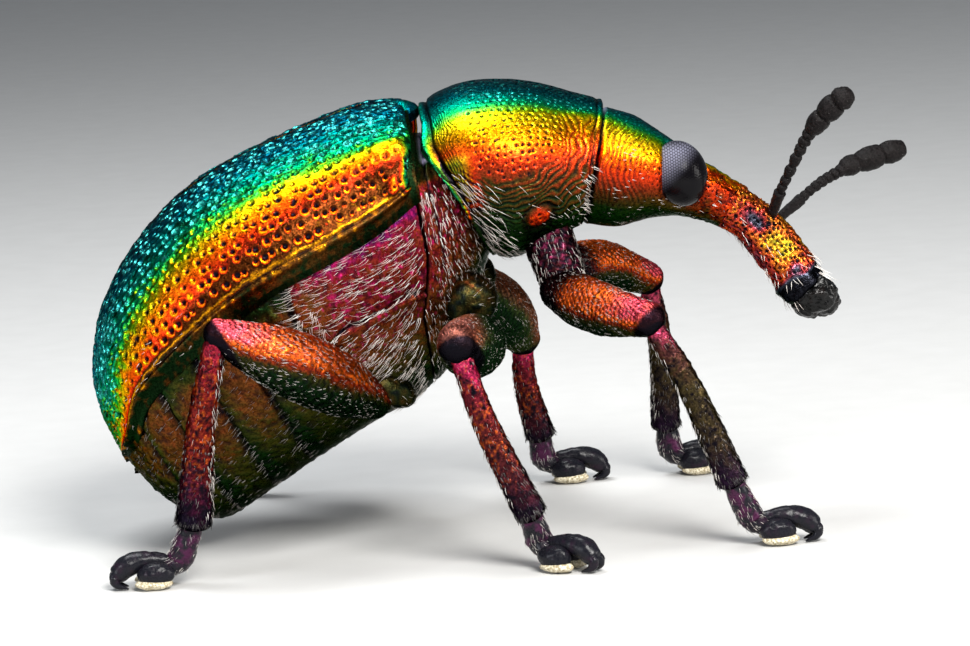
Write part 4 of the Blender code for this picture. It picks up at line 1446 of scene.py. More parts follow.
def metathorax_hue(s, angle):
    """Hues of the metathorax: purple under the wing case, olive on the breast."""
    seam = along_line(STERNUM_SEAM, s)
    tone = 0.02 + 0.28 * soft_step(91, 98, angle) + 0.22 * soft_step(3.0, 3.7, s)
    tone = tone + 0.16 * soft_step(seam - 1.0, seam + 3.0, angle)
    return tone + 0.50 * soft_step(seam + 5, 150, angle)


def abdomen_hue(s, angle):
    """Hues of the belly."""
    tone = 0.14 + 0.68 * soft_step(104, 148, angle)
    tone = tone + 0.85 * soft_step(101, 93, angle) * soft_step(7.5, 5.5, s)
    tone = tone + 0.40 * soft_step(6.4, 8.2, s)
    for seam in VENTRITE_SEAMS:
        tone = tone + 0.45 * soft_step(seam - 0.42, seam - 0.05, s) * (s < seam)
    return tone


def build_trunk(plate, belly, scutellum_metal):
    """Mesothorax, metathorax, abdomen, pygidium and scutellum."""
    front = ((0, -0.45), (180, -0.30))
    turns = full_turn(*TRUNK_TURNS)
    # Name, where it starts and ends, rows along it, its seams, its hues and the seed of its noise
    parts = (
        ("mesothorax", front, MESO_META_SEAM, 90, mesothorax_seams, mesothorax_hue, 61),
        ("metathorax", MESO_META_SEAM, SLOT_SEAM, 150, metathorax_seams, metathorax_hue, 64),
        ("abdomen", SLOT_SEAM, ((0, ABDOMEN_END), (180, ABDOMEN_END)), 180, abdomen_seams,
         abdomen_hue, 67),
        ("pygidium", ((0, ABDOMEN_END), (180, ABDOMEN_END)),
         ((0, PYGIDIUM_END), (180, PYGIDIUM_END)), 40, abdomen_seams, abdomen_hue, 70),
    )
    for name, start, end, count, seams, hue, seed in parts:
        surface, place = between(start, end)
        pale = mesothorax_pale if name == "mesothorax" else None
        rows = stations(0.0, 1.0, count)
        relief = plate_relief(place, seams, hue, seed, pale)
        slot, material = ("thorax", plate) if name.endswith("thorax") else ("abdomen", belly)
        covered(name, "plates", slot, material, rows, turns, surface, relief)
    along, around = GRIDS["scutellum"]
    rows = stations(0.02, 0.98, along)
    covered("scutellum", "shield", "scutellum", scutellum_metal, rows, full_turn(around),
            ball(*SCUTELLUM, 0.0), lumps(0.07, 0.012, 75, 0.13))


def limb_knots(points, halves):
    """Knots of a limb: its line through the points, with half sizes spread along it."""
    places = np.linspace(0.0, len(points) - 1.0, len(halves))
    centre = row_at(points, places)
    return [(*spot, half, half) for spot, half in zip(centre, halves)]


def limb(knots, up):
    """The surface of a limb; s runs from 0 to 1."""
    last = len(knots) - 1.0
    up = np.array(up, float)

    def surface(s, turn, shrink, push):
        return tube(knots, up, s * last, turn, shrink, push)

    return surface


# Rows of scales along a limb, and how wide a scale is, in degrees
FEMUR_SCALES = (30, 15.0)
COXA_SCALES = (10, 30.0)


def scaly(s, turn, drift, scales):
    """Rows of overlapping scales round a limb: 0 on a scale, 1 between two rows."""
    rows, width = scales
    row = s * rows + drift * 1.5
    arc = np.cos(2 * math.pi * (turn / width + 0.5 * row))
    return ripple(row + 0.24 * arc)


def femur_relief(seed, pair, knee, ahead, half):
    """Scaly skin of a femur, red above and green-black below, with a dark knee."""
    cap = KNEE_CAPS[pair]

    def relief(s, turn, point):
        past = (point - np.array(knee)) @ np.array(ahead) / half
        angle = np.abs(turn)
        rough = wobble(point, 0.045, seed)
        ring = scaly(s, turn, wobble(point, 0.13, seed + 2), FEMUR_SCALES)
        bare = soft_step(cap + 0.15, cap - 0.15, past)
        height = -0.014 * bare * ring ** 1.5
        height += 0.010 * rough + 0.010 * wobble(point, 0.09, seed + 1)
        tone = 0.30 - 0.28 * soft_step(0.62, 0.92, s) + 0.75 * soft_step(74, 134, angle)
        tone = tone + 0.22 * rough
        dark = 0.985 * (1 - bare) + 0.68 * bare * soft_step(0.50, 1.0, ring)
        if pair == "front":
            dark = dark + 0.88 * soft_step(0.34, 0.14, s)
        if pair == "middle":
            tone = tone + 0.75 * soft_step(-0.06, 0.22, point[:, 0] - knee[0] - 0.16)
        else:
            tone = tone + 0.25 * soft_step(0.30, 0.05, s)
        return height, {"tone": tone, "dark": np.clip(dark, 0, 1)}

    return relief


def tibia_relief(seed):
    """Rough skin of a tibia, magenta at the knee and dark at the foot."""
    def relief(s, turn, point):
        rough = wobble(point, 0.05, seed)
        fine = grain(point, 0.026, seed + 1)
        height = 0.014 * rough + 0.012 * (fine - 0.5)
        tone = s + 0.14 * rough + 0.06 * soft_step(70, 140, np.abs(turn))
        dark = 0.50 * soft_step(0.52, 0.75, rough + 0.5) + 0.50 * soft_step(0.48, 0.30, fine)
        glint = 0.60 * soft_step(0.62, 0.80, fine) * soft_step(0.02, 0.20, s)
        glint *= soft_step(0.95, 0.60, s)
        return height, {"tone": tone, "dark": np.clip(dark, 0, 1), "glint": glint}

    return relief


def coxa_relief(seed, pair):
    """Rough skin of a coxa, set with rows of scales on a front one."""
    def relief(s, turn, point):
        rough = wobble(point, 0.05, seed)
        height = 0.014 * rough
        if pair != "front":
            tone = 0.62 + 0.5 * rough + 0.25 * soft_step(2.75, 2.45, point[:, 2])
            return height, {"tone": tone, "dark": 0.25 + 0.5 * soft_step(0.0, 0.3, rough)}
        ring = scaly(s, turn, wobble(point, 0.13, seed + 2), COXA_SCALES)
        tone = 0.20 + 0.7 * rough + 0.40 * soft_step(2.95, 2.45, point[:, 2])
        dark = 0.95 * soft_step(0.20, 0.70, ring)
        return height - 0.016 * ring, {"tone": tone, "dark": dark}

    return relief


def coxa_shape(pair, side):
    """The surface of a coxa: a long cone in front, an egg elsewhere."""
    if pair == "front":
        knots = [(x, side * y, z, across, deep) for x, y, z, across, deep in FRONT_COXA]
        return limb(knots, (1.0, 0.0, 0.0))
    (x, y, z), half_sizes, lean = ROUND_COXAE[pair]
    return ball((x, side * y, z), half_sizes, lean)


def tibia_points(leg, pair):
    """The line of a tibia, bowed a little at the knee."""
    knee, ankle = np.array(leg[2]), np.array(leg[3])
    bow = np.array((0.05, 0.0, 0.02)) * (1 if pair == "front" else -1)
    middle = knee + (ankle - knee) * 0.45 + bow
    return [tuple(knee), tuple(middle), tuple(ankle)]


TIBIA_HALF = {
    "front": (0.095, 0.110, 0.120, 0.130, 0.142, 0.155),
    "middle": (0.095, 0.110, 0.120, 0.130, 0.142, 0.155),
    "hind": (0.100, 0.115, 0.128, 0.145, 0.160, 0.180),
}


def build_coxa(pair, label, side, metals, seed):
    """One coxa. Returns its surface."""
    surface = coxa_shape(pair, side)
    along, around = GRIDS["coxa"]
    front = pair == "front"
    rows = stations(0.0, 1.0, along, 0.08, 0.14, 6) if front else stations(0.02, 0.98, along)
    metal = metals["coxa" if front else "thorax"]
    covered(f"coxa_{pair}_{label}", "shell", "coxa", metal, rows, full_turn(around), surface,
            coxa_relief(seed, pair))
    return surface


def build_femur(pair, label, leg, metals, seed):
    """One femur, its black cap square to the bend of the knee. Returns its surface."""
    hip_half, knee_half = FEMUR_HALF[pair][0], FEMUR_HALF[pair][-1]
    surface = limb(limb_knots(leg[:3], FEMUR_HALF[pair]), (0.0, 0.0, 1.0))
    along, around = GRIDS["femur"]
    rows = stations(0.0, 1.0, along, hip_half, knee_half * 0.9, 9)
    middle, knee, ankle = (Vector(point) for point in leg[1:4])
    ahead = ((knee - middle).normalized() + (ankle - knee).normalized()).normalized()
    metal = metals["middle_femur" if pair == "middle" else "femur"]
    covered(f"femur_{pair}_{label}", "shell", "femur", metal, rows, full_turn(around), surface,
            femur_relief(seed, pair, leg[2], ahead, knee_half))
    return surface


def build_tibia(pair, label, leg, metals, seed):
    """One tibia. Returns its surface."""
    surface = limb(limb_knots(tibia_points(leg, pair), TIBIA_HALF[pair]), (1.0, 0.0, 0.0))
    along, around = GRIDS["tibia"]
    rows = stations(0.0, 1.0, along, 0.09, 0.10, 6)
    covered(f"tibia_{pair}_{label}", "shell", "tibia", metals[f"{pair}_tibia"], rows,
            full_turn(around), surface, tibia_relief(seed))
    return surface


def build_leg(pair, label, side, metals):
    """Coxa, femur, tibia and tarsus of one leg. Returns the surfaces that carry hair."""
    leg = LEGS[pair, label]
    seed = 100 + 10 * list(LEGS).index((pair, label))
    return (
        build_coxa(pair, label, side, metals, seed),
        build_femur(pair, label, leg, metals, seed + 1),
        build_tibia(pair, label, leg, metals, seed + 2),
        build_foot(pair, label, leg, metals, seed + 3),
    )


FOOT_TUBES = {
    "second": (((-0.25, 0.0, 0.28, 0.10, 0.09), (-0.17, 0.0, 0.24, 0.13, 0.115),
                (-0.08, 0.0, 0.19, 0.13, 0.10)), 0.05),
    "stalk": (((-0.14, 0.0, 0.22, 0.06, 0.06), (0.02, 0.0, 0.255, 0.08, 0.08),
               (0.19, 0.0, 0.26, 0.105, 0.10), (0.33, 0.0, 0.225, 0.12, 0.11),
               (0.42, 0.0, 0.155, 0.10, 0.095)), 0.06),
}
FOOT_BLACKNESS = {"first": 0.50, "second": 0.9}
LOBE = ((0.06, 0.125, 0.145), (0.18, 0.11, 0.12))
SOLE = ((0.085, 0.13, 0.058), (0.185, 0.105, 0.058))
CLAW = ((0.40, 0.03, 0.17, 0.06, 0.07), (0.46, 0.05, 0.11, 0.05, 0.06),
        (0.43, 0.065, 0.05, 0.035, 0.035), (0.34, 0.075, 0.015, 0.010, 0.010))


def foot_frame(leg):
    """Turns the foot's own frame to its place on the floor."""
    turn = Matrix.Rotation(math.radians(leg[5]), 4, "Z")
    return Matrix.Translation((*leg[4], 0.0)) @ turn


def build_foot(pair, label, leg, metals, seed):
    """The segments, lobes, soles and claws of one tarsus, in one piece.

    Returns the surfaces of its first two segments.
    """
    place = foot_frame(leg)
    ankle = place.inverted() @ Vector(leg[3])
    first = ((*ankle, 0.10, 0.10), (*ankle.lerp(Vector((-0.20, 0.0, 0.30)), 0.55), 0.125, 0.12),
             (-0.19, 0.0, 0.28, 0.145, 0.13))
    black = metals["tarsus"]
    parts = []
    bristled = []

    def add(name, rows, around, surface, relief, material):
        parts.append(dressed(skin(name, rows, full_turn(around), surface, relief), material))

    for name, (knots, dome) in {"first": (first, 0.05), **FOOT_TUBES}.items():
        surface = limb(knots, (0.0, 0.0, 1.0))
        bristled.append(surface)
        along, around = GRIDS["foot"]
        rows = stations(0.0, 1.0, along, dome, dome)
        blackness = FOOT_BLACKNESS.get(name, 1.0)
        add(name, rows, around, surface, lumps(0.05, 0.012, seed, blackness), black)
    for side in (-1, 1):
        for name, (middle, sizes), material in (
            ("lobe", LOBE, black), ("sole", SOLE, metals["sole"]),
        ):
            x, y, z = middle
            surface = ball((x, side * y, z), sizes, 0.0)
            along, around = GRIDS["pad"]
            rows = stations(0.03, 0.97, along)
            add(name, rows, around, surface, lumps(0.04, 0.014, seed), material)
        knots = [(x, side * y, z, across, deep) for x, y, z, across, deep in CLAW]
        along, around = GRIDS["claw"]
        rows = stations(0.0, 1.0, along, 0.03, 0.012, 4)
        add("claw", rows, around, limb(knots, (0.0, 0.0, 1.0)), lumps(0.05, 0.004, seed), black)
    foot = merged(f"tarsus_{pair}_{label}_horn", parts)
    foot.data.transform(place)
    lowest = min(vertex.co.z for vertex in foot.data.vertices)
    drop = Matrix.Translation((0.0, 0.0, -lowest))
    foot.data.transform(drop)
    settled(foot, "tarsus", f"tarsus_{pair}_{label}")
    return [placed(surface, drop @ place) for surface in bristled[:2]]


def placed(surface, matrix):
    """A surface moved by a matrix."""
    numbers = np.array(matrix)

    def moved(s, turn, shrink, push):
        return surface(s, turn, shrink, push) @ numbers[:3, :3].T + numbers[:3, 3]

    return moved


def merged(name, parts):
    """One piece out of several, each keeping its material."""
    shape = bmesh.new()
    mesh = bpy.data.meshes.new(name)
    for part in parts:
        material = part.data.materials[0]
        if material.name not in mesh.materials:
            mesh.materials.append(material)
        index = mesh.materials.find(material.name)
        before = len(shape.faces)
        shape.from_mesh(part.data)
        shape.faces.ensure_lookup_table()
        for face in shape.faces[before:]:
            face.material_index = index
        bpy.data.objects.remove(part, do_unlink=True)
    shape.to_mesh(mesh)
    shape.free()
    mesh.shade_smooth()
    return linked(name, mesh)


def bead(share, low, high, skew=1.35):
    """The half thickness of a bead, narrow at its root and full near its end."""
    bent = np.clip(share, 0.0, 1.0) ** skew
    return low + (high - low) * np.sqrt(np.clip(1 - (2 * bent - 1) ** 2, 0.0, 1.0))


SCAPE = (0.0, 1.15)
FUNICLE = (1.15, 4.2)
CLUB = (4.2, 7.0)
FUNICLE_BEADS = 7
CLUB_BEADS = 3

# Fine knots from one point of a feeler to the next, and steps round it
FEELER_KNOTS = 40
FEELER_STEPS = 40


def feeler_half(s):
    """Half thickness of a feeler along its knots."""
    scape = np.interp(s, SCAPE, (0.045, 0.062))
    small = (s - FUNICLE[0]) / (FUNICLE[1] - FUNICLE[0]) * FUNICLE_BEADS
    swell = np.interp(s, FUNICLE, (0.050, 0.066))
    funicle = bead(small % 1.0, 0.58, 1.0) * swell
    large = (s - CLUB[0]) / (CLUB[1] - CLUB[0]) * CLUB_BEADS
    width = np.interp(large, (0, 0.6, 1.4, 2.3, 3), (0.095, 0.105, 0.125, 0.125, 0.10))
    club = bead(large % 1.0, 0.70, 1.0, 1.2) * width
    return np.where(s < SCAPE[1], scape, np.where(s < FUNICLE[1], funicle, club))


def feeler(side_label):
    """The surface of a feeler; s runs over its knots."""
    points = FEELERS[side_label]
    last = len(points) - 1
    fine = np.linspace(0.0, last, last * FEELER_KNOTS + 1)
    line = row_at(points, fine)
    half = feeler_half(fine)
    knots = np.column_stack((line, half, half))
    up = np.array((0.2, 0.9, 0.1))

    def surface(s, turn, shrink, push):
        return tube(knots, up, s * FEELER_KNOTS, turn, shrink, push)

    return surface


def build_feeler(label, material):
    """Scape, funicle and club of one feeler."""
    surface = feeler(label)
    parts = (("scape", SCAPE, 40, 0.02, 0.03), ("funicle", FUNICLE, 230, 0.02, 0.01),
             ("club", (CLUB[0], 6.93), 160, 0.03, 0.05))
    for name, (start, end), count, dome_in, dome_out in parts:
        rows = stations(start + 0.01, end, count, dome_in, dome_out, 4)
        covered(f"antenna_{label}_{name}", "horn", "antenna", material, rows,
                full_turn(FEELER_STEPS), surface, lumps(0.03, 0.010, 81))
    return surface


# Hairs are slim three-sided cones, cut across at two heights so that they can bend
HAIR_CUTS = (0.35, 0.70)
ROOT_DEPTH = 0.012

# How much hairs differ from each other, in degrees, in shares of their length and in tone
RISE_SPREAD = 7.0
CURL_SPREAD = 0.1
BEND_SPREAD = 0.12
TONE_SPREAD = 0.08

# A hair's patch on the unwrap, and the clear border round all the patches
PATCH = 0.003
BORDER = 0.02


def hair_stock(count):
    """A mesh of straight hairs, one long and one wide each, all on one spot."""
    shape = bmesh.new()
    bmesh.ops.create_cone(
        shape, cap_ends=True, segments=3, radius1=1.0, radius2=0.0, depth=1.0,
        matrix=Matrix.Translation((0.0, 0.0, 0.5)),
    )
    for height in HAIR_CUTS:
        everything = shape.verts[:] + shape.edges[:] + shape.faces[:]
        bmesh.ops.bisect_plane(
            shape, geom=everything, plane_co=(0.0, 0.0, height), plane_no=(0.0, 0.0, 1.0),
        )
    size = len(shape.verts)
    made = 1
    while made < count:
        shape.verts.index_update()
        extra = min(made, count - made)
        chosen = shape.verts[:][:extra * size]
        faces = [face for face in shape.faces if face.verts[0].index < extra * size]
        edges = [edge for edge in shape.edges if edge.verts[0].index < extra * size]
        bmesh.ops.duplicate(shape, geom=chosen + edges + faces)
        shape.verts.ensure_lookup_table()
        made += extra
    return shape, size


def strewn(surface, s_span, turn_span, per_mm2, seed, where):
    """Roots strewn over a stretch of a skin, so many to a square millimetre."""
    rng = np.random.default_rng(seed)
    s_line = np.linspace(*s_span, 70)
    t_line = np.linspace(*turn_span, 90)
    places = lattice(surface, s_line, t_line)
    down = places[1:, :-1] - places[:-1, :-1]
    over = places[:-1, 1:] - places[:-1, :-1]
    area = np.linalg.norm(np.cross(down, over), axis=2)
    if where:
        s_mid, t_mid = np.meshgrid(s_line[:-1], t_line[:-1], indexing="ij")
        area = area * where(s_mid.ravel(), t_mid.ravel()).reshape(area.shape)
    wanted = area.ravel() * per_mm2
    cell = np.repeat(np.arange(wanted.size), rng.poisson(wanted))
    row, column = np.divmod(cell, len(t_line) - 1)
    s = s_line[row] + rng.random(len(cell)) * (s_line[1] - s_line[0])
    turn = t_line[column] + rng.random(len(cell)) * (t_line[1] - t_line[0])
    return s, turn


def clear_of_border(share):
    """The share of a stretch, kept clear of its ends by the border."""
    return BORDER + (1 - 2 * BORDER) * share


def pelt(surface, s_span, turn_span, per_mm2, length, seed, thick, lift, where=None, heading=0.0,
         curl=0.55, sweep=0.0, tone=0.0, strip=(0.0, 1.0), sway=9.0):
    """Hairs of one stretch of skin.

    Heading is 0 for along the skin and 90 for away from its upper side. Lift is the slope at the
    root, curl bends the tip back down, sweep bends it away from the upper side, and strip is the
    share of the unwrap that the skin fills.
    """
    s, turn = strewn(surface, s_span, turn_span, per_mm2, seed, where)
    rng = np.random.default_rng(seed + 1)
    count = len(s)
    point, along, around, normal = frame_of(surface, s, turn)
    aim = heading(s, turn) if callable(heading) else np.full(count, heading)
    aim = np.radians(aim + rng.normal(0.0, sway, count)) * np.sign(turn)
    rise = np.radians(np.clip(lift + rng.normal(0.0, RISE_SPREAD, count), 3.0, 88.0))
    share = (s - s_span[0]) / (s_span[1] - s_span[0])
    across = strip[0] + clear_of_border(share) * (strip[1] - strip[0])
    return {
        "root": point - normal * ROOT_DEPTH,
        "lay": np.cos(aim)[:, None] * along + np.sin(aim)[:, None] * around,
        "normal": normal,
        "rise": rise,
        "length": rng.uniform(*length, count),
        "curl": np.full(count, curl) + rng.normal(0.0, CURL_SPREAD, count),
        "bend": rng.normal(0.0, BEND_SPREAD, count) + sweep * np.sign(turn),
        "thick": thick * rng.uniform(0.75, 1.2, count),
        "tone": np.clip(tone + rng.normal(0.0, TONE_SPREAD, count), 0.0, 1.0),
        "unwrap": np.stack((across, clear_of_border((turn + 180) / 360)), axis=1),
    }


def grown(name, pelts, material, slot):
    """One piece of coat out of several stretches."""
    hairs = {key: np.concatenate([part[key] for part in pelts]) for key in pelts[0]}
    count = len(hairs["rise"])
    shape, size = hair_stock(count)
    mesh = mesh_from(shape, name)
    local = points_of(mesh).reshape(count, size, 3).astype(float)
    h = local[:, :, 2:3]
    fuller = np.maximum(1 - h, 0.05) ** -0.3
    rise = hairs["rise"][:, None, None]
    length = hairs["length"][:, None, None]
    lay = hairs["lay"][:, None, :]
    normal = hairs["normal"][:, None, :]
    side = np.cross(hairs["normal"], hairs["lay"])[:, None, :]
    curl = hairs["curl"][:, None, None]
    thick = hairs["thick"][:, None, None]
    path = lay * np.cos(rise) * h + normal * np.sin(rise) * (h - curl * h ** 2)
    path = path + side * hairs["bend"][:, None, None] * h ** 2
    ring = side * local[:, :, 0:1] + (normal * np.cos(rise) - lay * np.sin(rise)) * local[:, :, 1:2]
    point = hairs["root"][:, None, :] + path * length + ring * thick * fuller
    put_points(mesh, point)
    put_mark(mesh, "tone", np.repeat(hairs["tone"], size))
    bake = mesh.uv_layers.new(name="OFBake")
    corner = np.empty(len(mesh.loops), np.int32)
    mesh.loops.foreach_get("vertex_index", corner)
    spread = np.stack((local[0, :, 0] * 0.5, local[0, :, 2] - 0.5), axis=1) * PATCH
    places = hairs["unwrap"][corner // size] + spread[corner % size]
    bake.data.foreach_set("uv", places.astype(np.float32).ravel())
    mesh.shade_smooth()
    return settled(dressed(linked(name, mesh), material), slot)


def meta_heading(s, turn):
    """Hairs of the metathorax lie back, and slant down in front and below."""
    angle = np.abs(turn)
    return 6 + 20 * soft_step(1.7, 1.1, s) + 26 * soft_step(110, 120, angle)


def in_mesothorax(s, turn):
    """1 on the mesothorax, 0 elsewhere."""
    return (s < along_line(MESO_META_SEAM, np.abs(turn)) - 0.04).astype(float)


def in_metathorax(s, turn):
    """1 on the metathorax, 0 elsewhere."""
    angle = np.abs(turn)
    after = s > along_line(MESO_META_SEAM, angle) + 0.04
    return (after & (s < along_line(SLOT_SEAM, angle) - 0.04)).astype(float)


def in_belly(s, turn):
    """1 on the belly, 0 elsewhere."""
    return (s > along_line(SLOT_SEAM, np.abs(turn)) + 0.04).astype(float)


def both_sides(surface, s_span, turns, *rest, **named):
    """The hairs of a stretch on the left and on the right."""
    low, high = turns
    rest = list(rest)
    left = pelt(surface, s_span, (low, high), *rest, **named)
    rest[2] += 500
    right = pelt(surface, s_span, (-high, -low), *rest, **named)
    return [left, right]


def grow_trunk(material):
    """The hairs of the trunk."""
    skin_of = trunk_surface
    hairs = both_sides(
        skin_of, (-0.3, 1.7), (84, 176), 470, (0.09, 0.15), 201, where=in_mesothorax,
        heading=76.0, thick=0.0029, lift=14, sweep=0.10,
    )
    hairs += both_sides(
        skin_of, (0.9, 4.1), (90, 176), 430, (0.14, 0.23), 203, where=in_metathorax,
        heading=meta_heading, thick=0.0029, lift=13, sweep=0.30, sway=8.0,
    )
    hairs += both_sides(
        skin_of, (2.3, 9.6), (86, 178), 240, (0.07, 0.12), 205, where=in_belly, heading=12.0,
        thick=0.0026, lift=12, tone=0.50, sweep=0.10,
    )
    hairs += both_sides(
        skin_of, (3.5, 4.05), (100, 118), 460, (0.11, 0.18), 207, heading=60.0,
        thick=0.0032, lift=26,
    )
    grown("coat_trunk", hairs, material, "thorax")


def low_hind_edge(s, turn):
    """Where the long hairs of the pronotum stand."""
    angle = np.abs(turn)
    return soft_step(1.9, 0.9, s) * soft_step(84, 94, angle) + 0.25 * soft_step(94, 112, angle)


def grow_pronotum(material):
    """The hairs on the lower sides of the pronotum."""
    hairs = both_sides(
        pronotum_surface, (0.15, 5.9), (82, 172), 200, (0.10, 0.19), 211, where=low_hind_edge,
        heading=38.0, thick=0.0034, lift=12, sweep=0.18,
    )
    hairs += both_sides(
        pronotum_surface, (0.10, 1.6), (92, 150), 100, (0.18, 0.32), 213, heading=46.0,
        thick=0.0030, lift=12, curl=0.5, sweep=0.25,
    )
    hairs += both_sides(
        pronotum_surface, (5.1, 5.95), (84, 140), 300, (0.09, 0.16), 215, heading=25.0,
        thick=0.0034, lift=20, sweep=0.12,
    )
    grown("coat_pronotum", hairs, material, "pronotum")


def grow_head(material):
    """The hairs of the head and the bristles of the snout."""
    hairs = both_sides(
        head_surface, (0.2, 4.4), (70, 176), 90, (0.05, 0.09), 221, thick=0.004, lift=18,
    )
    hairs += both_sides(
        head_surface, (4.6, 8.4), (95, 176), 110, (0.08, 0.17), 223, thick=0.0045, lift=38,
        curl=0.35,
    )
    hairs += both_sides(
        head_surface, (7.2, 8.4), (8, 95), 90, (0.12, 0.28), 225, thick=0.0045, lift=22,
        curl=0.3,
    )
    grown("coat_head", hairs, material, "head")


def toward_ankle(s, turn):
    """0 on the upper half of a tibia, rising to 1 at its end."""
    return soft_step(0.40, 0.9, s)


def grow_leg(pair, label, surfaces, material):
    """The hairs of one leg."""
    seed = 300 + 20 * list(LEGS).index((pair, label))
    coxa_surface, femur_surface, tibia_surface, ankles = surfaces
    whole = (-180, 180)
    edge = (-50, 50) if pair == "hind" else (130, 230)
    hairs = [
        pelt(coxa_surface, (0.05, 0.95), whole, 260, (0.07, 0.13), seed, thick=0.0026,
             lift=16, tone=0.25, strip=(0.0, 0.25)),
        pelt(femur_surface, (0.02, 0.93), whole, 420, (0.05, 0.09), seed + 2, thick=0.0027,
             lift=14, tone=0.15, strip=(0.27, 0.52)),
        pelt(tibia_surface, (0.06, 0.9), whole, 260, (0.05, 0.09), seed + 4, thick=0.0028,
             lift=20, tone=0.55, strip=(0.54, 0.70)),
        pelt(tibia_surface, (0.10, 0.95), edge, 300, (0.08, 0.14), seed + 5, thick=0.0032,
             lift=30, tone=0.15, strip=(0.70, 0.75)),
        pelt(tibia_surface, (0.40, 0.995), whole, 420, (0.06, 0.11), seed + 6, thick=0.0045,
             lift=22, tone=0.97, strip=(0.75, 0.82), where=toward_ankle),
        pelt(tibia_surface, (0.965, 1.0), whole, 2400, (0.05, 0.09), seed + 8, thick=0.0060,
             lift=14, tone=1.0, strip=(0.83, 0.88), curl=0.1),
    ]
    for index, ankle in enumerate(ankles):
        start = 0.89 + 0.055 * index
        hairs.append(pelt(
            ankle, (0.15, 0.98), whole, 420, (0.06, 0.11), seed + 10 + 2 * index,
            thick=0.0034, lift=28, tone=0.30, strip=(start, start + 0.05),
        ))
    grown(f"coat_leg_{pair}_{label}", hairs, material, "femur")


def grow_feeler(label, surface, material):
    """The down of one feeler."""
    hairs = [pelt(surface, (0.1, 6.9), (-180, 180), 480, (0.025, 0.05), 421, thick=0.0026,
                  lift=38, tone=0.97)]
    grown(f"coat_feeler_{label}", hairs, material, "antenna")


def grow_wing_cases(material):
    """Fine hairs near the margin and the end of the wing cases."""
    hairs = [pelt(wing_case_surface, (5.5, 9.85), (74, 90), 90, (0.05, 0.10), 431,
                  thick=0.0035, lift=30)]
    left = grown("coat_wing_case_left", hairs, material, "wing_case")
    right = mirrored(left, "coat_wing_case_right")
    right.data.transform(Matrix.Translation((0.0, 2 * SHIFT.y * MM, 0.0)))
    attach(right, "root")


# Half the floor's width in millimetres, and the pale light from all round
FLOOR_REACH = 900.0
AIR_COLOUR = (0.80, 0.86, 0.95)
AIR_STRENGTH = 0.22

# Lamps: name, place in millimetres, side in millimetres, watts, colour
LIGHTS = (
    ("key", (10.0, -30.0, 28.0), 16.0, 0.032, (1.0, 0.98, 0.95)),
    ("top", (-10.0, 6.0, 40.0), 20.0, 0.016, (0.96, 0.98, 1.0)),
    ("side", (-30.0, -24.0, 12.0), 14.0, 0.006, (0.92, 0.95, 1.0)),
    ("front", (34.0, -10.0, 10.0), 14.0, 0.006, (1.0, 0.97, 0.95)),
)
LAMP_AIM = (0.0, 0.0, 2.4)

# The camera: how far it looks down, how far it leans, its distance, the height that it looks at
# and the width of its picture there, in millimetres
CAMERA_DOWN = math.radians(8.5)
CAMERA_LEAN = math.radians(3.2)
CAMERA_AWAY = 50.0
CAMERA_AIM = (0.0, 0.0, 2.076)
PICTURE_WIDTH = 9.7
SENSOR_WIDTH = 36.0


def build_floor():
    """A plain pale floor."""
    shape = bmesh.new()
    bmesh.ops.create_grid(shape, x_segments=1, y_segments=1, size=FLOOR_REACH * MM)
    floor = linked("floor", mesh_from(shape, "floor"))
    net = Net("floor_paper")
    fibre = net.noise(net.spot(), 2.0, 4.0)
    paper = net.mix(fibre, (0.50, 0.50, 0.49), (0.56, 0.56, 0.55))
    dressed(floor, net.finish(Base_Color=paper, Roughness=0.75))


def build_world():
    """Even pale light from all round."""
    world = bpy.data.worlds.new("studio")
    world.use_nodes = True
    background = world.node_tree.nodes["Background"]
    background.inputs["Color"].default_value = (*AIR_COLOUR, 1.0)
    background.inputs["Strength"].default_value = AIR_STRENGTH
    bpy.context.scene.world = world
    bpy.context.scene.view_settings.view_transform = "Standard"


def build_lights():
    """Soft square lamps, each aimed at the animal."""
    for name, place, side, watts, colour in LIGHTS:
        lamp = bpy.data.lights.new(name, "AREA")
        lamp.shape = "SQUARE"
        lamp.size = side * MM
        lamp.energy = watts
        lamp.color = colour
        place = Vector(place)
        turn = (Vector(LAMP_AIM) - place).to_track_quat("-Z", "Y").to_matrix().to_4x4()
        linked(name, lamp).matrix_world = Matrix.Translation(place * MM) @ turn


def build_camera():
    """The camera, low at the animal's right side."""
    right = Vector((1.0, 0.0, 0.0))
    upward = Vector((0.0, math.sin(CAMERA_DOWN), math.cos(CAMERA_DOWN)))
    back = Vector((0.0, -math.cos(CAMERA_DOWN), math.sin(CAMERA_DOWN)))
    sideways = math.cos(CAMERA_LEAN) * right - math.sin(CAMERA_LEAN) * upward
    over = math.sin(CAMERA_LEAN) * right + math.cos(CAMERA_LEAN) * upward
    turn = Matrix((sideways, over, back)).transposed().to_4x4()
    place = Vector(CAMERA_AIM) + SHIFT + back * CAMERA_AWAY
    camera = bpy.data.cameras.new("camera")
    camera.sensor_width = SENSOR_WIDTH
    camera.lens = SENSOR_WIDTH * CAMERA_AWAY / PICTURE_WIDTH
    camera.clip_start = 1.0 * MM
    camera.clip_end = 2.0
    holder = linked("camera", camera)
    holder.matrix_world = Matrix.Translation(place * MM) @ turn
    bpy.context.scene.camera = holder


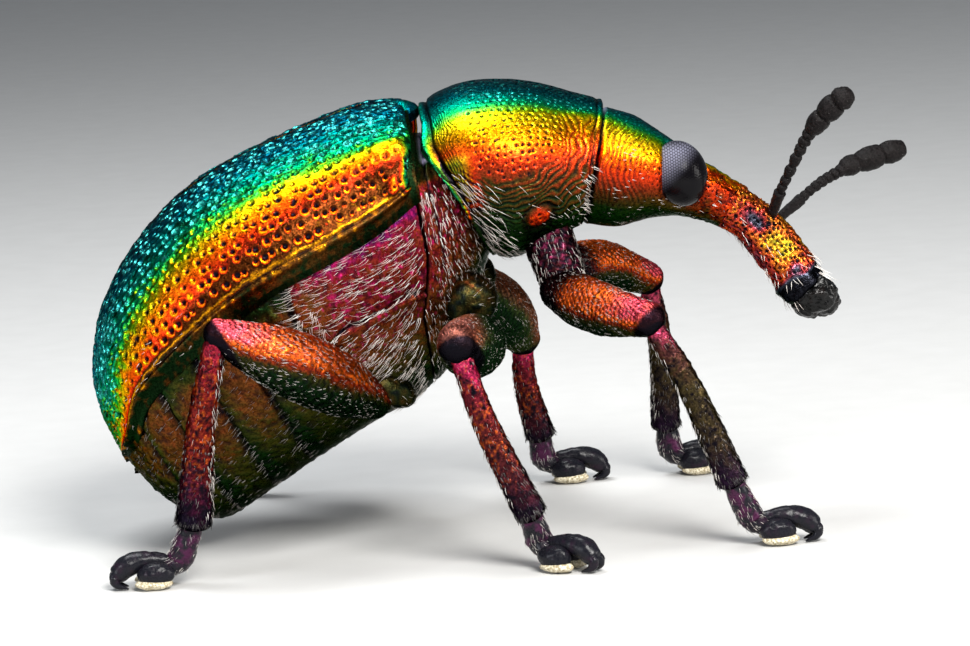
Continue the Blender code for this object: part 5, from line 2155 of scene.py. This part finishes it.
def make_metals():
    """The materials of the skins, by what they cover."""
    return {
        "wing_case": cuticle("wing_case_metal", METAL_HUES),
        "pronotum": cuticle("pronotum_metal", PRONOTUM_HUES),
        "head": cuticle("head_metal", PRONOTUM_HUES, 0.30, 0.003, 80.0),
        "rostrum": cuticle("rostrum_metal", ROSTRUM_HUES, 0.30, 0.006, 50.0),
        "thorax": cuticle("thorax_metal", THORAX_HUES, 0.36, 0.005, 50.0, GLINT_MAGENTA),
        "abdomen": cuticle("abdomen_metal", ABDOMEN_HUES, 0.36, 0.005, 50.0, ABDOMEN_HUES[0][1]),
        "coxa": cuticle("coxa_metal", COXA_HUES, 0.38, 0.006, 50.0),
        "femur": cuticle("femur_metal", FEMUR_HUES, 0.34, 0.006, 50.0),
        "middle_femur": cuticle("middle_femur_metal", MIDDLE_FEMUR_HUES, 0.40, 0.006, 50.0),
        "hind_tibia": cuticle("hind_tibia_metal", HIND_TIBIA_HUES, 0.34, 0.006, 50.0,
                              GLINT_AMBER),
        "middle_tibia": cuticle("middle_tibia_metal", MIDDLE_TIBIA_HUES, 0.34, 0.006, 50.0,
                                GLINT_AMBER),
        "front_tibia": cuticle("front_tibia_metal", FRONT_TIBIA_HUES, 0.34, 0.006, 50.0,
                               FRONT_TIBIA_HUES[3][1]),
        "tarsus": horn("tarsus_horn", HORN_BLACK, HORN_GLEAM),
        "sole": pad_skin(),
        "mouth": horn("mouth_horn", MOUTH_BLACK, MOUTH_GLEAM, 0.16, gloss=0.18),
        "eye": facets(),
    }


def build():
    """Builds the whole model."""
    metals = make_metals()
    build_wing_cases(metals["wing_case"])
    build_pronotum(metals["pronotum"])
    build_head(metals["head"], metals["rostrum"], metals["eye"], metals["mouth"])
    build_trunk(metals["thorax"], metals["abdomen"], metals["wing_case"])
    feelers = velvet()
    hair = bristle()
    for label, side in SIDES:
        grow_feeler(label, build_feeler(label, feelers), hair)
        for pair in PAIRS:
            grow_leg(pair, label, build_leg(pair, label, side, metals), hair)
    grow_trunk(hair)
    grow_pronotum(hair)
    grow_head(hair)
    grow_wing_cases(hair)


# Pits: the middle of each, from the stretch and the turns that they fill and how far apart they are
WING_CASE_PITS = pit_centres(wing_case_surface, (1.05, 9.85), (2.0, 82.0), 0.118, 1)
PRONOTUM_PITS = pit_centres(pronotum_surface, (0.62, 5.8), (0.0, 140.0), 0.078, 2)
HEAD_PITS = pit_centres(straight_head, (0.1, 4.4), (0.0, 170.0), 0.072, 3)
ROSTRUM_PITS = pit_centres(straight_head, (4.3, 8.4), (0.0, 180.0), 0.066, 4)

build()
build_floor()
build_world()
build_lights()
build_camera()
